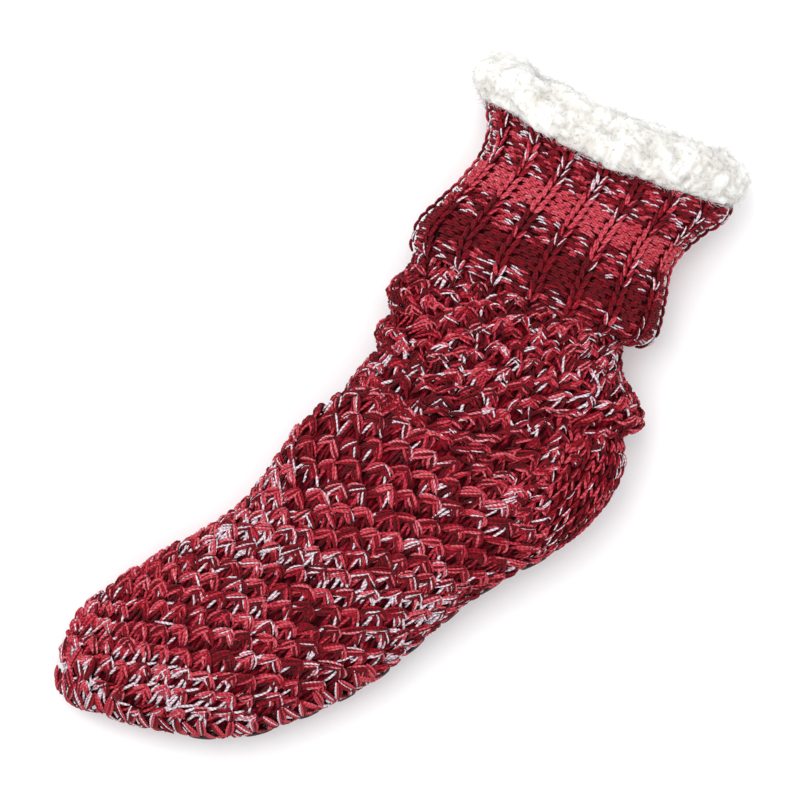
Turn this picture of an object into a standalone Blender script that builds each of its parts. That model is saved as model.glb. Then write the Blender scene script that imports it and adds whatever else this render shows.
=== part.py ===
"""One lined slipper sock, lying on its side with the sole edge and the upper on the floor.

X runs from the toe to the mouth of the cuff, Y from the sole to the instep, Z up from the floor.
The knitted tube follows a flat centre line from the toe tip to the rim of the cuff. Every surface
is worked out from sections across that line: front is the instep and shin side, back is the sole,
heel and calf side.
"""
import math

import bpy
import numpy as np

# Lengths along the centre line
FOOT_RUN = 0.2075
LEG_RUN = 0.0595
CUFF_LENGTH = 0.0655

# Widths across the sock as it lies flat
BALL_WIDTH = 0.0915
INSTEP_WIDTH = 0.1015
HEEL_WIDTH = 0.1160
LEG_WIDTH = 0.1030
CUFF_WIDTH = 0.1010

# Thickness of the sock as it lies, both layers and the space between them
FOOT_THICKNESS = 0.041
HEEL_THICKNESS = 0.051
CUFF_THICKNESS = 0.050

# Knitted wall, its ribs and the rolled lower edge of the cuff
KNIT_WALL = 0.004
RIB_COUNT = 16
RIB_HEIGHT = 0.0016
LIP_TUCK = 0.0050
LIP_ROLL = 0.0030
RIM_DIP = 0.0050
UNDER_DIP = 0.0022

# Sherpa collar: the lining's top, standing out of the rim
COLLAR_RISE = 0.0205
COLLAR_TUCK = 0.0240
PILE_THICKNESS = 0.0075
PILE_PUFF = 0.0055
PILE_TUFT = 0.0014
PILE_SQUASH = 0.0025
PILE_CURL = 0.0045
FIT_GAP = 0.0004

# Grip dots printed on the sole
DOT_DIAMETER = 0.0090
DOT_HEIGHT = 0.0011
DOT_EDGE = 0.0003
DOT_BEVEL = 0.00125
DOT_PITCH = 0.0162
DOT_ROW_GAP = 0.0130
DOT_FROM_EDGE = 0.0050
DOT_GAP = 0.00045
DOT_ROWS = "ab"
DOTS_FROM = 0.20
DOTS_TO = 0.87

# Facets
POINTS_PER_RIB = 3
AROUND = RIB_COUNT * POINTS_PER_RIB
DOT_SIDES = 10

# The part of each run is a share of its length
RUN_START = {"foot": 0.0, "leg": FOOT_RUN, "cuff": FOOT_RUN + LEG_RUN}
RUN_LENGTH = {"foot": FOOT_RUN, "leg": LEG_RUN, "cuff": CUFF_LENGTH}
RIM = FOOT_RUN + LEG_RUN + CUFF_LENGTH
LIP = FOOT_RUN + LEG_RUN
RIM_LIFT = PILE_PUFF - PILE_SQUASH

# Heading of the centre line: run, share of the run, degrees from X towards Y
HEADINGS = (
    ("foot", 0.00, -64.0),
    ("foot", 0.38, -17.0),
    ("foot", 0.60, -14.0),
    ("leg", 0.42, 12.0),
    ("leg", 1.00, 14.0),
)

# Sections: run, share of the run, width they follow, front and back shares of that width,
# thickness they follow and its share
SECTIONS = (
    ("foot", 0.08, BALL_WIDTH, 0.362, 0.180, FOOT_THICKNESS, 0.76),
    ("foot", 0.12, BALL_WIDTH, 0.398, 0.222, FOOT_THICKNESS, 0.84),
    ("foot", 0.20, BALL_WIDTH, 0.451, 0.302, FOOT_THICKNESS, 0.94),
    ("foot", 0.28, BALL_WIDTH, 0.474, 0.405, FOOT_THICKNESS, 1.00),
    ("foot", 0.36, BALL_WIDTH, 0.483, 0.470, FOOT_THICKNESS, 1.02),
    ("foot", 0.44, BALL_WIDTH, 0.462, 0.514, FOOT_THICKNESS, 1.02),
    ("foot", 0.54, BALL_WIDTH, 0.456, 0.544, FOOT_THICKNESS, 1.03),
    ("foot", 0.66, INSTEP_WIDTH, 0.462, 0.485, FOOT_THICKNESS, 1.09),
    ("foot", 0.76, INSTEP_WIDTH, 0.498, 0.501, HEEL_THICKNESS, 0.93),
    ("foot", 0.84, HEEL_WIDTH, 0.424, 0.492, HEEL_THICKNESS, 0.97),
    ("foot", 0.92, HEEL_WIDTH, 0.400, 0.568, HEEL_THICKNESS, 1.00),
    ("foot", 1.00, HEEL_WIDTH, 0.388, 0.616, HEEL_THICKNESS, 1.03),
    ("leg", 0.28, HEEL_WIDTH, 0.412, 0.604, HEEL_THICKNESS, 1.04),
    ("leg", 0.58, HEEL_WIDTH, 0.440, 0.590, HEEL_THICKNESS, 1.02),
    ("leg", 0.78, LEG_WIDTH, 0.486, 0.555, HEEL_THICKNESS, 0.97),
    ("leg", 1.00, LEG_WIDTH, 0.440, 0.492, HEEL_THICKNESS, 0.88),
)
CUFF_SECTIONS = (
    ("cuff", 0.00, CUFF_WIDTH, 0.485, 0.570, CUFF_THICKNESS, 1.00),
    ("cuff", 0.12, CUFF_WIDTH, 0.498, 0.568, CUFF_THICKNESS, 1.04),
    ("cuff", 0.30, CUFF_WIDTH, 0.455, 0.546, CUFF_THICKNESS, 1.02),
    ("cuff", 0.50, CUFF_WIDTH, 0.402, 0.530, CUFF_THICKNESS, 0.99),
    ("cuff", 0.72, CUFF_WIDTH, 0.374, 0.556, CUFF_THICKNESS, 0.95),
    ("cuff", 0.88, CUFF_WIDTH, 0.394, 0.600, CUFF_THICKNESS, 0.90),
    ("cuff", 1.00, CUFF_WIDTH, 0.438, 0.622, CUFF_THICKNESS, 0.86),
)

# Slump troughs: share of the leg run on the front, on the face and on the back, half width as a
# share of the leg run, depth in walls on the front, on the face and on the back
TROUGHS = (
    (0.46, 0.60, 0.74, 0.085, 1.30, 1.00, 0.50),
    (0.14, 0.26, 0.40, 0.085, 0.80, 0.90, 1.50),
    (-0.28, -0.14, -0.02, 0.110, 0.20, 0.50, 0.20),
    (0.78, 0.86, 0.95, 0.070, 0.40, 0.60, 0.90),
)
UNDERSIDE_TROUGH = 0.30

# Roundness of a section: exponents of its upper and lower half, and how far its lower half would
# reach below the floor if it were not pressed flat there
UPPER_ROUND = 2.30
LOWER_ROUND = 2.30
FLOOR_PRESS = 1.12
MID_HEIGHT = 0.47

# Collar profile, round the pile: rise as a share of the collar's rise, or of its tuck where
# negative, then its place between the knit's inner face and the pile's inner face, 0 to 1, or
# outside the knit as a share of the puff where negative, then its share of a tuft
COLLAR_PROFILE = (
    (-1.00, 0.00, 0.0),
    (-0.50, 0.00, 0.0),
    (-0.10, 0.00, 0.0),
    (0.030, 0.00, 0.0),
    (0.030, -0.05, 0.0),
    (0.060, -0.55, 0.3),
    (0.20, -0.95, 1.0),
    (0.36, -1.00, 1.0),
    (0.52, -0.90, 1.0),
    (0.68, -0.66, 1.0),
    (0.84, -0.28, 1.0),
    (0.96, 0.20, 1.0),
    (1.00, 0.58, 1.0),
    (0.92, 0.92, 1.0),
    (0.72, 1.05, 1.0),
    (0.42, 1.02, 0.8),
    (0.10, 1.00, 0.5),
    (-0.45, 1.00, 0.0),
    (-1.00, 0.95, 0.0),
)

# Where the rings stand: first and last places and how many rings between them
HEEL_START = ("foot", 0.86)
LEG_START = ("leg", 0.02)
LEG_END = ("leg", 0.98)
FOOT_RINGS = 12
HEEL_RINGS = 4
LEG_RINGS = 13
CUFF_RINGS = 8
TOE_RINGS = 6
INNER_FOOT_RINGS = 9
INNER_HEEL_RINGS = 3
INNER_LEG_RINGS = 11
INNER_CUFF_RINGS = 5
INNER_TOE_RINGS = 4

# Rolled lower edge of the cuff: distance past the lip, section it follows, inset in the knit
# and share of a rib, from the leg under the cuff out to the first full rib
LIP_RINGS = (
    ("leg", -0.20 * LIP_TUCK, 0.0, 0.0),
    ("leg", LIP_TUCK, 0.1 * KNIT_WALL, 0.0),
    ("leg", LIP_TUCK, -0.3 * KNIT_WALL, 0.0),
    ("cuff", 0.20 * LIP_TUCK, 0.75 * LIP_ROLL, 0.0),
    ("cuff", 0.0, 0.25 * LIP_ROLL, 0.5),
    ("cuff", 0.45 * LIP_ROLL, 0.0, 1.0),
)
FIRST_CUFF_RING = 1.6 * LIP_ROLL

# Rounded rim of the cuff: distance back from the rim, inset and share of a rib
RIM_RINGS = (
    (0.35 * KNIT_WALL, 0.0, 0.7),
    (0.0, 0.25 * KNIT_WALL, 0.2),
    (0.0, 0.75 * KNIT_WALL, 0.0),
    (0.35 * KNIT_WALL, KNIT_WALL, 0.0),
)

FINE_STEP = 0.0005
FINE_ANGLES = np.linspace(0.0, 2.0 * math.pi, 721)
TOE_CAP = SECTIONS[0][1] * FOOT_RUN


def along(run, share):
    """Distance along the centre line of a share of one run."""
    return RUN_START[run] + share * RUN_LENGTH[run]


def smooth_through(x, xs, ys):
    """Value at x of a smooth curve through the rows, level past both ends."""
    x = min(max(x, xs[0]), xs[-1])
    i = int(min(np.searchsorted(xs, x, side="right"), len(xs) - 1)) - 1
    i = max(i, 0)
    span = xs[i + 1] - xs[i]
    slope = (ys[i + 1] - ys[i]) / span
    before = (ys[i] - ys[i - 1]) / (xs[i] - xs[i - 1]) if i > 0 else 0.0
    after = (ys[i + 2] - ys[i + 1]) / (xs[i + 2] - xs[i + 1]) if i + 2 < len(xs) else 0.0
    start = 0.5 * (before + slope)
    end = 0.5 * (slope + after)
    t = (x - xs[i]) / span
    return (
        (2 * t**3 - 3 * t**2 + 1) * ys[i]
        + (t**3 - 2 * t**2 + t) * span * start
        + (3 * t**2 - 2 * t**3) * ys[i + 1]
        + (t**3 - t**2) * span * end
    )


class Rows:
    """Section rows in metres, read at any distance along the centre line."""

    def __init__(self, rows):
        self.at = [along(run, share) for run, share, *_ in rows]
        self.front = [width * front for _, _, width, front, _, _, _ in rows]
        self.back = [width * back for _, _, width, _, back, _, _ in rows]
        self.thickness = [size * share for *_, size, share in rows]

    def read(self, s):
        return tuple(smooth_through(s, self.at, ys) for ys in (self.front, self.back, self.thickness))


FOOT_AND_LEG = Rows(SECTIONS)
CUFF = Rows(CUFF_SECTIONS)

HEADING_AT = [along(run, share) for run, share, _ in HEADINGS]
HEADING_DEGREES = [degrees for *_, degrees in HEADINGS]
LINE_AT = np.arange(0.0, RIM + COLLAR_RISE + 2 * FINE_STEP, FINE_STEP)
LINE_HEADING = np.radians(np.interp(LINE_AT, HEADING_AT, HEADING_DEGREES))
LINE_X = np.concatenate(([0.0], np.cumsum(np.cos(LINE_HEADING[:-1]) * FINE_STEP)))
LINE_Y = np.concatenate(([0.0], np.cumsum(np.sin(LINE_HEADING[:-1]) * FINE_STEP)))


def floor_height(s):
    """Height of the knit's underside: it rises a little to the rim, where the pile lifts it."""
    share = (s - along("cuff", 0.35)) / (RIM - along("cuff", 0.35))
    share = min(max(share, 0.0), 1.0)
    return RIM_LIFT * share * share * (3 - 2 * share)


def trough_depth(s, angles):
    """Depth of the slump troughs round the section at s."""
    depth = np.zeros(len(angles))
    front = np.maximum(np.cos(angles), 0.0) ** 2
    back = np.maximum(-np.cos(angles), 0.0) ** 2
    face = np.sin(angles) ** 2
    for at_front, at_face, at_back, half, front_depth, face_depth, back_depth in TROUGHS:
        side = 0.5 - 0.5 * np.cos(angles)
        share = (1 - side) ** 2 * at_front + 2 * side * (1 - side) * at_face + side**2 * at_back
        place = RUN_START["leg"] + share * LEG_RUN
        fall = np.exp(-(((s - place) / (half * LEG_RUN)) ** 2))
        walls = front * front_depth + back * back_depth + face * face_depth
        depth += fall * walls * KNIT_WALL
    under = UNDERSIDE_TROUGH + (1 - UNDERSIDE_TROUGH) * np.cos(angles) ** 2
    return depth * np.where(np.sin(angles) < 0.0, under, 1.0)


def section_shape(rows, s, angles, inset=0.0):
    """Points and outward normals round one section, across and up, before troughs and ribs."""
    front, back, thickness = rows.read(max(s, TOE_CAP))
    cap = 1.0
    if s < TOE_CAP:
        cap = math.sqrt(max(0.0, 1.0 - ((TOE_CAP - s) / (TOE_CAP - inset)) ** 2))
    floor = floor_height(s)
    middle = 0.5 * (front - back) * cap
    half = (0.5 * (front + back) - inset) * cap
    centre_height = thickness * MID_HEIGHT
    upper = (thickness - centre_height - inset) * cap
    lower = (centre_height * FLOOR_PRESS - inset) * cap
    cos, sin = np.cos(angles), np.sin(angles)
    power = np.where(sin >= 0.0, UPPER_ROUND, LOWER_ROUND)
    height = np.where(sin >= 0.0, upper, lower)
    across = np.sign(cos) * np.abs(cos) ** (2 / power)
    up = np.sign(sin) * np.abs(sin) ** (2 / power)
    normal_across = np.sign(across) * np.abs(across) ** (power - 1) / half
    normal_up = np.sign(up) * np.abs(up) ** (power - 1) / height
    size = np.hypot(normal_across, normal_up)
    points = np.column_stack((middle + half * across, floor + centre_height + height * up))
    points[:, 1] = np.maximum(points[:, 1], floor + inset * cap)
    return points, np.column_stack((normal_across / size, normal_up / size))


def even_angles(rows, s, count):
    """Angles of count points spaced evenly round the section at s."""
    points, _ = section_shape(rows, s, FINE_ANGLES)
    steps = np.hypot(*np.diff(points, axis=0).T)
    length = np.concatenate(([0.0], np.cumsum(steps)))
    return np.interp(np.arange(count) / count * length[-1], length, FINE_ANGLES)


def rim_dip(s, angles):
    """How far the two faces hang back from the rim's plane: none at mid cuff, all at the rim."""
    share = min(max((s - along("cuff", 0.5)) / (RIM - along("cuff", 0.5)), 0.0), 1.0)
    dip = np.where(np.sin(angles) > 0.0, RIM_DIP, UNDER_DIP)
    return dip * share * np.sin(angles) ** 2


def place_ring(s, points):
    """World points of one ring: across and up, set square to the centre line at s."""
    heading = np.interp(s, LINE_AT, LINE_HEADING)
    x = np.interp(s, LINE_AT, LINE_X) - np.sin(heading) * points[:, 0]
    y = np.interp(s, LINE_AT, LINE_Y) + np.cos(heading) * points[:, 0]
    return np.column_stack((x, y, points[:, 1]))


def knit_ring(rows, s, inset=0.0, section_at=None, rib=0.0):
    """One ring of the knitted wall, at s along the line with the section of section_at."""
    at = s if section_at is None else section_at
    angles = even_angles(rows, max(at, TOE_CAP), AROUND)
    points, normals = section_shape(rows, at, angles, inset)
    lift = -trough_depth(s, angles)
    lift[::POINTS_PER_RIB] += rib
    floor = floor_height(at)
    lowest = np.maximum(np.minimum(points[:, 1], floor + inset), floor)
    points = points + normals * lift[:, None]
    points[:, 1] = np.maximum(points[:, 1], lowest)
    return place_ring(s - rim_dip(s, angles), points)


def spread(start, end, count):
    """Even stations from start up to, and without, end."""
    return [start + (end - start) * i / count for i in range(count)]


def cap_stations(first, count):
    """Stations that round the toe off, from first to the end of the toe cap."""
    turns = [0.5 * math.pi * (i + 1) / count for i in range(count - 1)]
    return [first + (TOE_CAP - first) * (1 - math.cos(turn)) for turn in turns]


def rim_ring(back, inset, rib_share):
    """One ring of the cuff's rounded rim."""
    return knit_ring(CUFF, RIM - back, inset=inset, rib=rib_share * RIB_HEIGHT)


def outer_stations():
    """Where the rings of the outside stand, from the toe tip to the top of the leg."""
    heel, leg, leg_end = along(*HEEL_START), along(*LEG_START), along(*LEG_END)
    stations = cap_stations(0.0, TOE_RINGS)
    stations += spread(TOE_CAP, heel, FOOT_RINGS)
    stations += spread(heel, leg, HEEL_RINGS)
    return stations + spread(leg, leg_end, LEG_RINGS)


def outer_rings():
    """Rings of the outside, from the toe tip to the rim."""
    rings = [knit_ring(FOOT_AND_LEG, s) for s in outer_stations()]
    for side, past, inset, rib_share in LIP_RINGS:
        rows = FOOT_AND_LEG if side == "leg" else CUFF
        rib = rib_share * RIB_HEIGHT
        section_at = max(LIP, LIP + past) if rib_share == 1.0 else LIP
        rings.append(knit_ring(rows, LIP + past, inset=inset, section_at=section_at, rib=rib))
    for s in spread(LIP + FIRST_CUFF_RING, RIM - KNIT_WALL, CUFF_RINGS):
        rings.append(knit_ring(CUFF, s, rib=RIB_HEIGHT))
    return rings + [rim_ring(*row) for row in RIM_RINGS[:2]]


def inner_rings():
    """Rings of the inside, from the rim down to the toe tip."""
    heel, leg, leg_end = along(*HEEL_START), along(*LEG_START), along(*LEG_END)
    flare = LIP + LIP_TUCK + KNIT_WALL
    rings = [rim_ring(*row) for row in RIM_RINGS[2:]]
    tucked = [rise for rise, depth, _ in COLLAR_PROFILE if rise < 0.0 and depth == 0.0]
    stations = [RIM + rise * COLLAR_TUCK for rise in reversed(tucked)]
    stations += spread(RIM - COLLAR_TUCK, flare, INNER_CUFF_RINGS)[1:] + [flare]
    rings += [knit_ring(CUFF, s, inset=KNIT_WALL) for s in stations]
    stations = [LIP - LIP_RINGS[0][1]] + spread(leg_end, leg, INNER_LEG_RINGS)
    stations += spread(leg, heel, INNER_HEEL_RINGS)
    stations += spread(heel, TOE_CAP, INNER_FOOT_RINGS) + [TOE_CAP]
    stations += cap_stations(KNIT_WALL, INNER_TOE_RINGS)[::-1]
    for s in stations:
        rings.append(knit_ring(FOOT_AND_LEG, s, inset=KNIT_WALL, section_at=min(s, LIP)))
    return rings


def mesh_object(name, vertices, faces, colour, roughness):
    """A smooth shaded object of one closed mesh, with its own material."""
    mesh = bpy.data.meshes.new(name)
    mesh.from_pydata([tuple(v) for v in vertices], [], faces)
    mesh.validate()
    material = bpy.data.materials.new(name)
    material.use_nodes = True
    shader = material.node_tree.nodes["Principled BSDF"]
    shader.inputs["Base Color"].default_value = (*colour, 1.0)
    shader.inputs["Roughness"].default_value = roughness
    shader.inputs["Metallic"].default_value = 0.0
    mesh.materials.append(material)
    mesh.shade_smooth()
    mesh.set_sharp_from_angle(angle=math.radians(50))
    obj = bpy.data.objects.new(name, mesh)
    bpy.context.scene.collection.objects.link(obj)
    return obj


def bridge(start_a, start_b, count):
    """Triangles between two neighbouring rings whose points run round the same way."""
    faces = []
    for k in range(count):
        n = (k + 1) % count
        faces.append((start_a + k, start_a + n, start_b + n))
        faces.append((start_a + k, start_b + n, start_b + k))
    return faces


def knit_upper():
    """The knitted sock: toe, foot, heel, slumped leg and ribbed cuff in one wall."""
    outside, inside = outer_rings(), inner_rings()
    rings = outside + inside
    toe_outside = place_ring(0.0, np.array([[0.0, FOOT_AND_LEG.thickness[0] * MID_HEIGHT]]))
    toe_inside = place_ring(KNIT_WALL, np.array([[0.0, FOOT_AND_LEG.thickness[0] * MID_HEIGHT]]))
    vertices = np.vstack(rings + [toe_outside, toe_inside])
    faces = []
    for i in range(len(rings) - 1):
        faces += bridge(i * AROUND, (i + 1) * AROUND, AROUND)
    first_tip = len(rings) * AROUND
    last = (len(rings) - 1) * AROUND
    for k in range(AROUND):
        n = (k + 1) % AROUND
        faces.append((first_tip, n, k))
        faces.append((first_tip + 1, last + k, last + n))
    return mesh_object("knit_upper", vertices, faces, (0.36, 0.02, 0.05), 0.85)


def tuft(ring, spoke):
    """Height of the pile at one point, -1 to 1: a lock on every other point, no two alike."""
    lock = 1.0 if (ring + spoke) % 2 else -0.6
    return lock * (0.75 + 0.25 * math.sin(2.4 * ring + 1.7 * spoke) * math.cos(0.9 * spoke))


def tucked_ring(rise, depth):
    """Ring of the collar inside the cuff, or of its inner face, facing the knit point for point."""
    inset = KNIT_WALL + FIT_GAP + depth * PILE_THICKNESS
    return knit_ring(CUFF, RIM + rise * COLLAR_TUCK, inset=inset)


def free_ring(number, rise, depth, lock_share):
    """Ring of the collar above the rim, where the pile swells out, curls forward and stands in locks."""
    angles = even_angles(CUFF, RIM, AROUND)
    inset = KNIT_WALL + FIT_GAP + depth * PILE_THICKNESS if depth >= 0.0 else depth * PILE_PUFF
    points, normals = section_shape(CUFF, RIM, angles, max(inset, 0.0))
    locks = np.array([tuft(number, spoke) for spoke in range(AROUND)])
    curl = PILE_CURL * np.maximum(np.cos(angles), 0.0) ** 2
    lift = max(-inset, 0.0) + lock_share * (PILE_TUFT * locks + curl)
    points = points + normals * lift[:, None]
    points[:, 1] = np.maximum(points[:, 1], 0.0)
    s = RIM + rise * COLLAR_RISE
    return place_ring(s - rim_dip(s, angles), points)


def sherpa_collar():
    """The lining's top: tucked into the cuff, rolled over the rim, with short locks of pile."""
    rings = []
    for number, (rise, depth, lock_share) in enumerate(COLLAR_PROFILE):
        if rise < 0.0:
            rings.append(tucked_ring(rise, depth))
        else:
            rings.append(free_ring(number, rise, depth, lock_share))
    faces = []
    for i in range(len(rings)):
        faces += bridge(i * AROUND, (i + 1) % len(rings) * AROUND, AROUND)
    return mesh_object("sherpa_collar", np.vstack(rings), faces, (0.86, 0.84, 0.79), 0.95)


def facet_point(s, below_edge):
    """World point on the knit's facets, below_edge round from the outermost line of the sole."""
    stations = outer_stations()
    i = int(np.searchsorted(stations, s)) - 1
    sides = []
    for station in stations[i:i + 2]:
        ring = knit_ring(FOOT_AND_LEG, station)
        angles = even_angles(FOOT_AND_LEG, station, AROUND)
        edge = np.interp(math.pi, angles, np.arange(AROUND))
        step = np.linalg.norm(ring[int(edge) + 1] - ring[int(edge)])
        at = edge + below_edge / step
        sides.append(np.array([np.interp(at, np.arange(AROUND), ring[:, axis]) for axis in range(3)]))
    t = (s - stations[i]) / (stations[i + 1] - stations[i])
    return (1 - t) * sides[0] + t * sides[1]


def sole_point(s, below_edge, lift):
    """World point that stands lift over the knit's facets."""
    half = 0.25 * DOT_DIAMETER
    forward = facet_point(s + half, below_edge) - facet_point(s - half, below_edge)
    down = facet_point(s, below_edge + half) - facet_point(s, below_edge - half)
    normal = np.cross(down, forward)
    return facet_point(s, below_edge) + normal / np.linalg.norm(normal) * lift


def grip_dot(name, s, below_edge):
    """One printed dot: a low round pad that follows the knit under it."""
    vertices = []
    rims = ((0.0, 0.0), (0.0, DOT_HEIGHT - DOT_EDGE), (DOT_BEVEL, DOT_HEIGHT))
    for bevel, height in rims:
        radius = 0.5 * DOT_DIAMETER - bevel
        lift = DOT_GAP + height
        for k in range(DOT_SIDES):
            turn = 2 * math.pi * k / DOT_SIDES
            forward, up = radius * math.cos(turn), radius * math.sin(turn)
            vertices.append(sole_point(s + forward, below_edge - up, lift))
    vertices.append(sole_point(s, below_edge, DOT_GAP))
    vertices.append(sole_point(s, below_edge, DOT_GAP + DOT_HEIGHT))
    faces = bridge(0, DOT_SIDES, DOT_SIDES) + bridge(DOT_SIDES, 2 * DOT_SIDES, DOT_SIDES)
    under, top = 3 * DOT_SIDES, 3 * DOT_SIDES + 1
    for k in range(DOT_SIDES):
        n = (k + 1) % DOT_SIDES
        faces.append((under, n, k))
        faces.append((top, 2 * DOT_SIDES + k, 2 * DOT_SIDES + n))
    return mesh_object(name, vertices, faces, (0.02, 0.02, 0.022), 0.55)


def grip_dots():
    """Two staggered rows of dots along the sole edge, on the side turned to the floor."""
    dots = []
    first, last = along("foot", DOTS_FROM), along("foot", DOTS_TO)
    per_row = int((last - first) / DOT_PITCH) + 1
    for row, letter in enumerate(DOT_ROWS):
        for i in range(per_row - row):
            s = last - (i + 0.5 * row) * DOT_PITCH
            below_edge = DOT_FROM_EDGE + row * DOT_ROW_GAP
            dots.append(grip_dot(f"grip_dot_{letter}{i + 1}", s, below_edge))
    return dots


def centre_on_floor(objects):
    """Set the middle of the whole sock's box over the origin, with its underside on the floor."""
    corners = np.array([v.co for obj in objects for v in obj.data.vertices])
    low, high = corners.min(axis=0), corners.max(axis=0)
    for obj in objects:
        for v in obj.data.vertices:
            v.co.x -= 0.5 * (low[0] + high[0])
            v.co.y -= 0.5 * (low[1] + high[1])
            v.co.z -= low[2]


def main():
    for obj in list(bpy.data.objects):
        bpy.data.objects.remove(obj, do_unlink=True)
    objects = [knit_upper(), sherpa_collar(), *grip_dots()]
    centre_on_floor(objects)


main()
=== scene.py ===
"""Looks of the slipper sock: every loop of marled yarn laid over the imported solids."""
import itertools
import math

import bpy
import mathutils
import numpy as np
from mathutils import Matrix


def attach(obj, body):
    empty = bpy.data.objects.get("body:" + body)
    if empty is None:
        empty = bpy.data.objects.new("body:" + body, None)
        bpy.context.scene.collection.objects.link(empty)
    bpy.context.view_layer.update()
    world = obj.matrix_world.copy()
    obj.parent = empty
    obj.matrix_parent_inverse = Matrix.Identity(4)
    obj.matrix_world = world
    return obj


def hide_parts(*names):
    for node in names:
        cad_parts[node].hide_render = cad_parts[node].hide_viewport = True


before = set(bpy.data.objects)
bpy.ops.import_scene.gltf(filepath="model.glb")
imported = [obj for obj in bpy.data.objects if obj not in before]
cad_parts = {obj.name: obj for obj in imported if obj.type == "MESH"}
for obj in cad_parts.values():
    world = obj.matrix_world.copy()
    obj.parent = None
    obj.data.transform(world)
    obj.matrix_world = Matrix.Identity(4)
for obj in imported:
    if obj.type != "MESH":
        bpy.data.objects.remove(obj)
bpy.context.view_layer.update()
SEED = 7
MM = 0.001

# The sock's own sizes, as in the solids
FOOT_RUN, LEG_RUN, CUFF_LENGTH = 0.2075, 0.0595, 0.0655
BALL_WIDTH, INSTEP_WIDTH, HEEL_WIDTH = 0.0915, 0.1015, 0.1160
LEG_WIDTH, CUFF_WIDTH = 0.1030, 0.1010
FOOT_THICKNESS, HEEL_THICKNESS, CUFF_THICKNESS = 0.041, 0.051, 0.050
KNIT_WALL, RIB_COUNT = 0.004, 16
LIP_TUCK, LIP_ROLL, RIM_DIP, UNDER_DIP = 0.0050, 0.0030, 0.0050, 0.0022
COLLAR_RISE, COLLAR_TUCK = 0.0205, 0.0240
PILE_THICKNESS, PILE_PUFF, PILE_SQUASH, PILE_CURL = 0.0075, 0.0055, 0.0025, 0.0045
FIT_GAP = 0.0004
UPPER_ROUND, LOWER_ROUND, FLOOR_PRESS, MID_HEIGHT = 2.30, 2.30, 1.12, 0.47
UNDERSIDE_TROUGH = 0.30
DOT_DIAMETER, DOT_PITCH, DOT_ROW_GAP, DOT_FROM_EDGE = 0.0090, 0.0162, 0.0130, 0.0050
DOTS_FROM, DOTS_TO = 0.20, 0.87
LIP = FOOT_RUN + LEG_RUN
RIM = LIP + CUFF_LENGTH
RUN_START = {"foot": 0.0, "leg": FOOT_RUN, "cuff": LIP}
RUN_LENGTH = {"foot": FOOT_RUN, "leg": LEG_RUN, "cuff": CUFF_LENGTH}
TOE_TIP = np.array((-0.1656342, 0.061761))

# Run, share of it, and the centre line's heading in degrees
HEADINGS = (("foot", 0.00, -64.0), ("foot", 0.38, -17.0), ("foot", 0.60, -14.0),
            ("leg", 0.42, 12.0), ("leg", 1.00, 14.0))
# Run, share of it, width, shares of the width in front and behind, thickness and share of it
SECTIONS = (
    ("foot", 0.08, BALL_WIDTH, 0.362, 0.180, FOOT_THICKNESS, 0.76),
    ("foot", 0.12, BALL_WIDTH, 0.398, 0.222, FOOT_THICKNESS, 0.84),
    ("foot", 0.20, BALL_WIDTH, 0.451, 0.302, FOOT_THICKNESS, 0.94),
    ("foot", 0.28, BALL_WIDTH, 0.474, 0.405, FOOT_THICKNESS, 1.00),
    ("foot", 0.36, BALL_WIDTH, 0.483, 0.470, FOOT_THICKNESS, 1.02),
    ("foot", 0.44, BALL_WIDTH, 0.462, 0.514, FOOT_THICKNESS, 1.02),
    ("foot", 0.54, BALL_WIDTH, 0.456, 0.544, FOOT_THICKNESS, 1.03),
    ("foot", 0.66, INSTEP_WIDTH, 0.462, 0.485, FOOT_THICKNESS, 1.09),
    ("foot", 0.76, INSTEP_WIDTH, 0.498, 0.501, HEEL_THICKNESS, 0.93),
    ("foot", 0.84, HEEL_WIDTH, 0.424, 0.492, HEEL_THICKNESS, 0.97),
    ("foot", 0.92, HEEL_WIDTH, 0.400, 0.568, HEEL_THICKNESS, 1.00),
    ("foot", 1.00, HEEL_WIDTH, 0.388, 0.616, HEEL_THICKNESS, 1.03),
    ("leg", 0.28, HEEL_WIDTH, 0.412, 0.604, HEEL_THICKNESS, 1.04),
    ("leg", 0.58, HEEL_WIDTH, 0.440, 0.590, HEEL_THICKNESS, 1.02),
    ("leg", 0.78, LEG_WIDTH, 0.486, 0.555, HEEL_THICKNESS, 0.97),
    ("leg", 1.00, LEG_WIDTH, 0.440, 0.492, HEEL_THICKNESS, 0.88),
)
CUFF_SECTIONS = (
    ("cuff", 0.00, CUFF_WIDTH, 0.485, 0.570, CUFF_THICKNESS, 1.00),
    ("cuff", 0.12, CUFF_WIDTH, 0.498, 0.568, CUFF_THICKNESS, 1.04),
    ("cuff", 0.30, CUFF_WIDTH, 0.455, 0.546, CUFF_THICKNESS, 1.02),
    ("cuff", 0.50, CUFF_WIDTH, 0.402, 0.530, CUFF_THICKNESS, 0.99),
    ("cuff", 0.72, CUFF_WIDTH, 0.374, 0.556, CUFF_THICKNESS, 0.95),
    ("cuff", 0.88, CUFF_WIDTH, 0.394, 0.600, CUFF_THICKNESS, 0.90),
    ("cuff", 1.00, CUFF_WIDTH, 0.438, 0.622, CUFF_THICKNESS, 0.86),
)
# Share of the leg at the front, face and back, half width, and depth at the front, face and back
TROUGHS = (
    (0.46, 0.60, 0.74, 0.085, 1.30, 1.00, 0.50),
    (0.14, 0.26, 0.40, 0.085, 0.80, 0.90, 1.50),
    (-0.28, -0.14, -0.02, 0.110, 0.20, 0.50, 0.20),
    (0.78, 0.86, 0.95, 0.070, 0.40, 0.60, 0.90),
)
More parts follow.
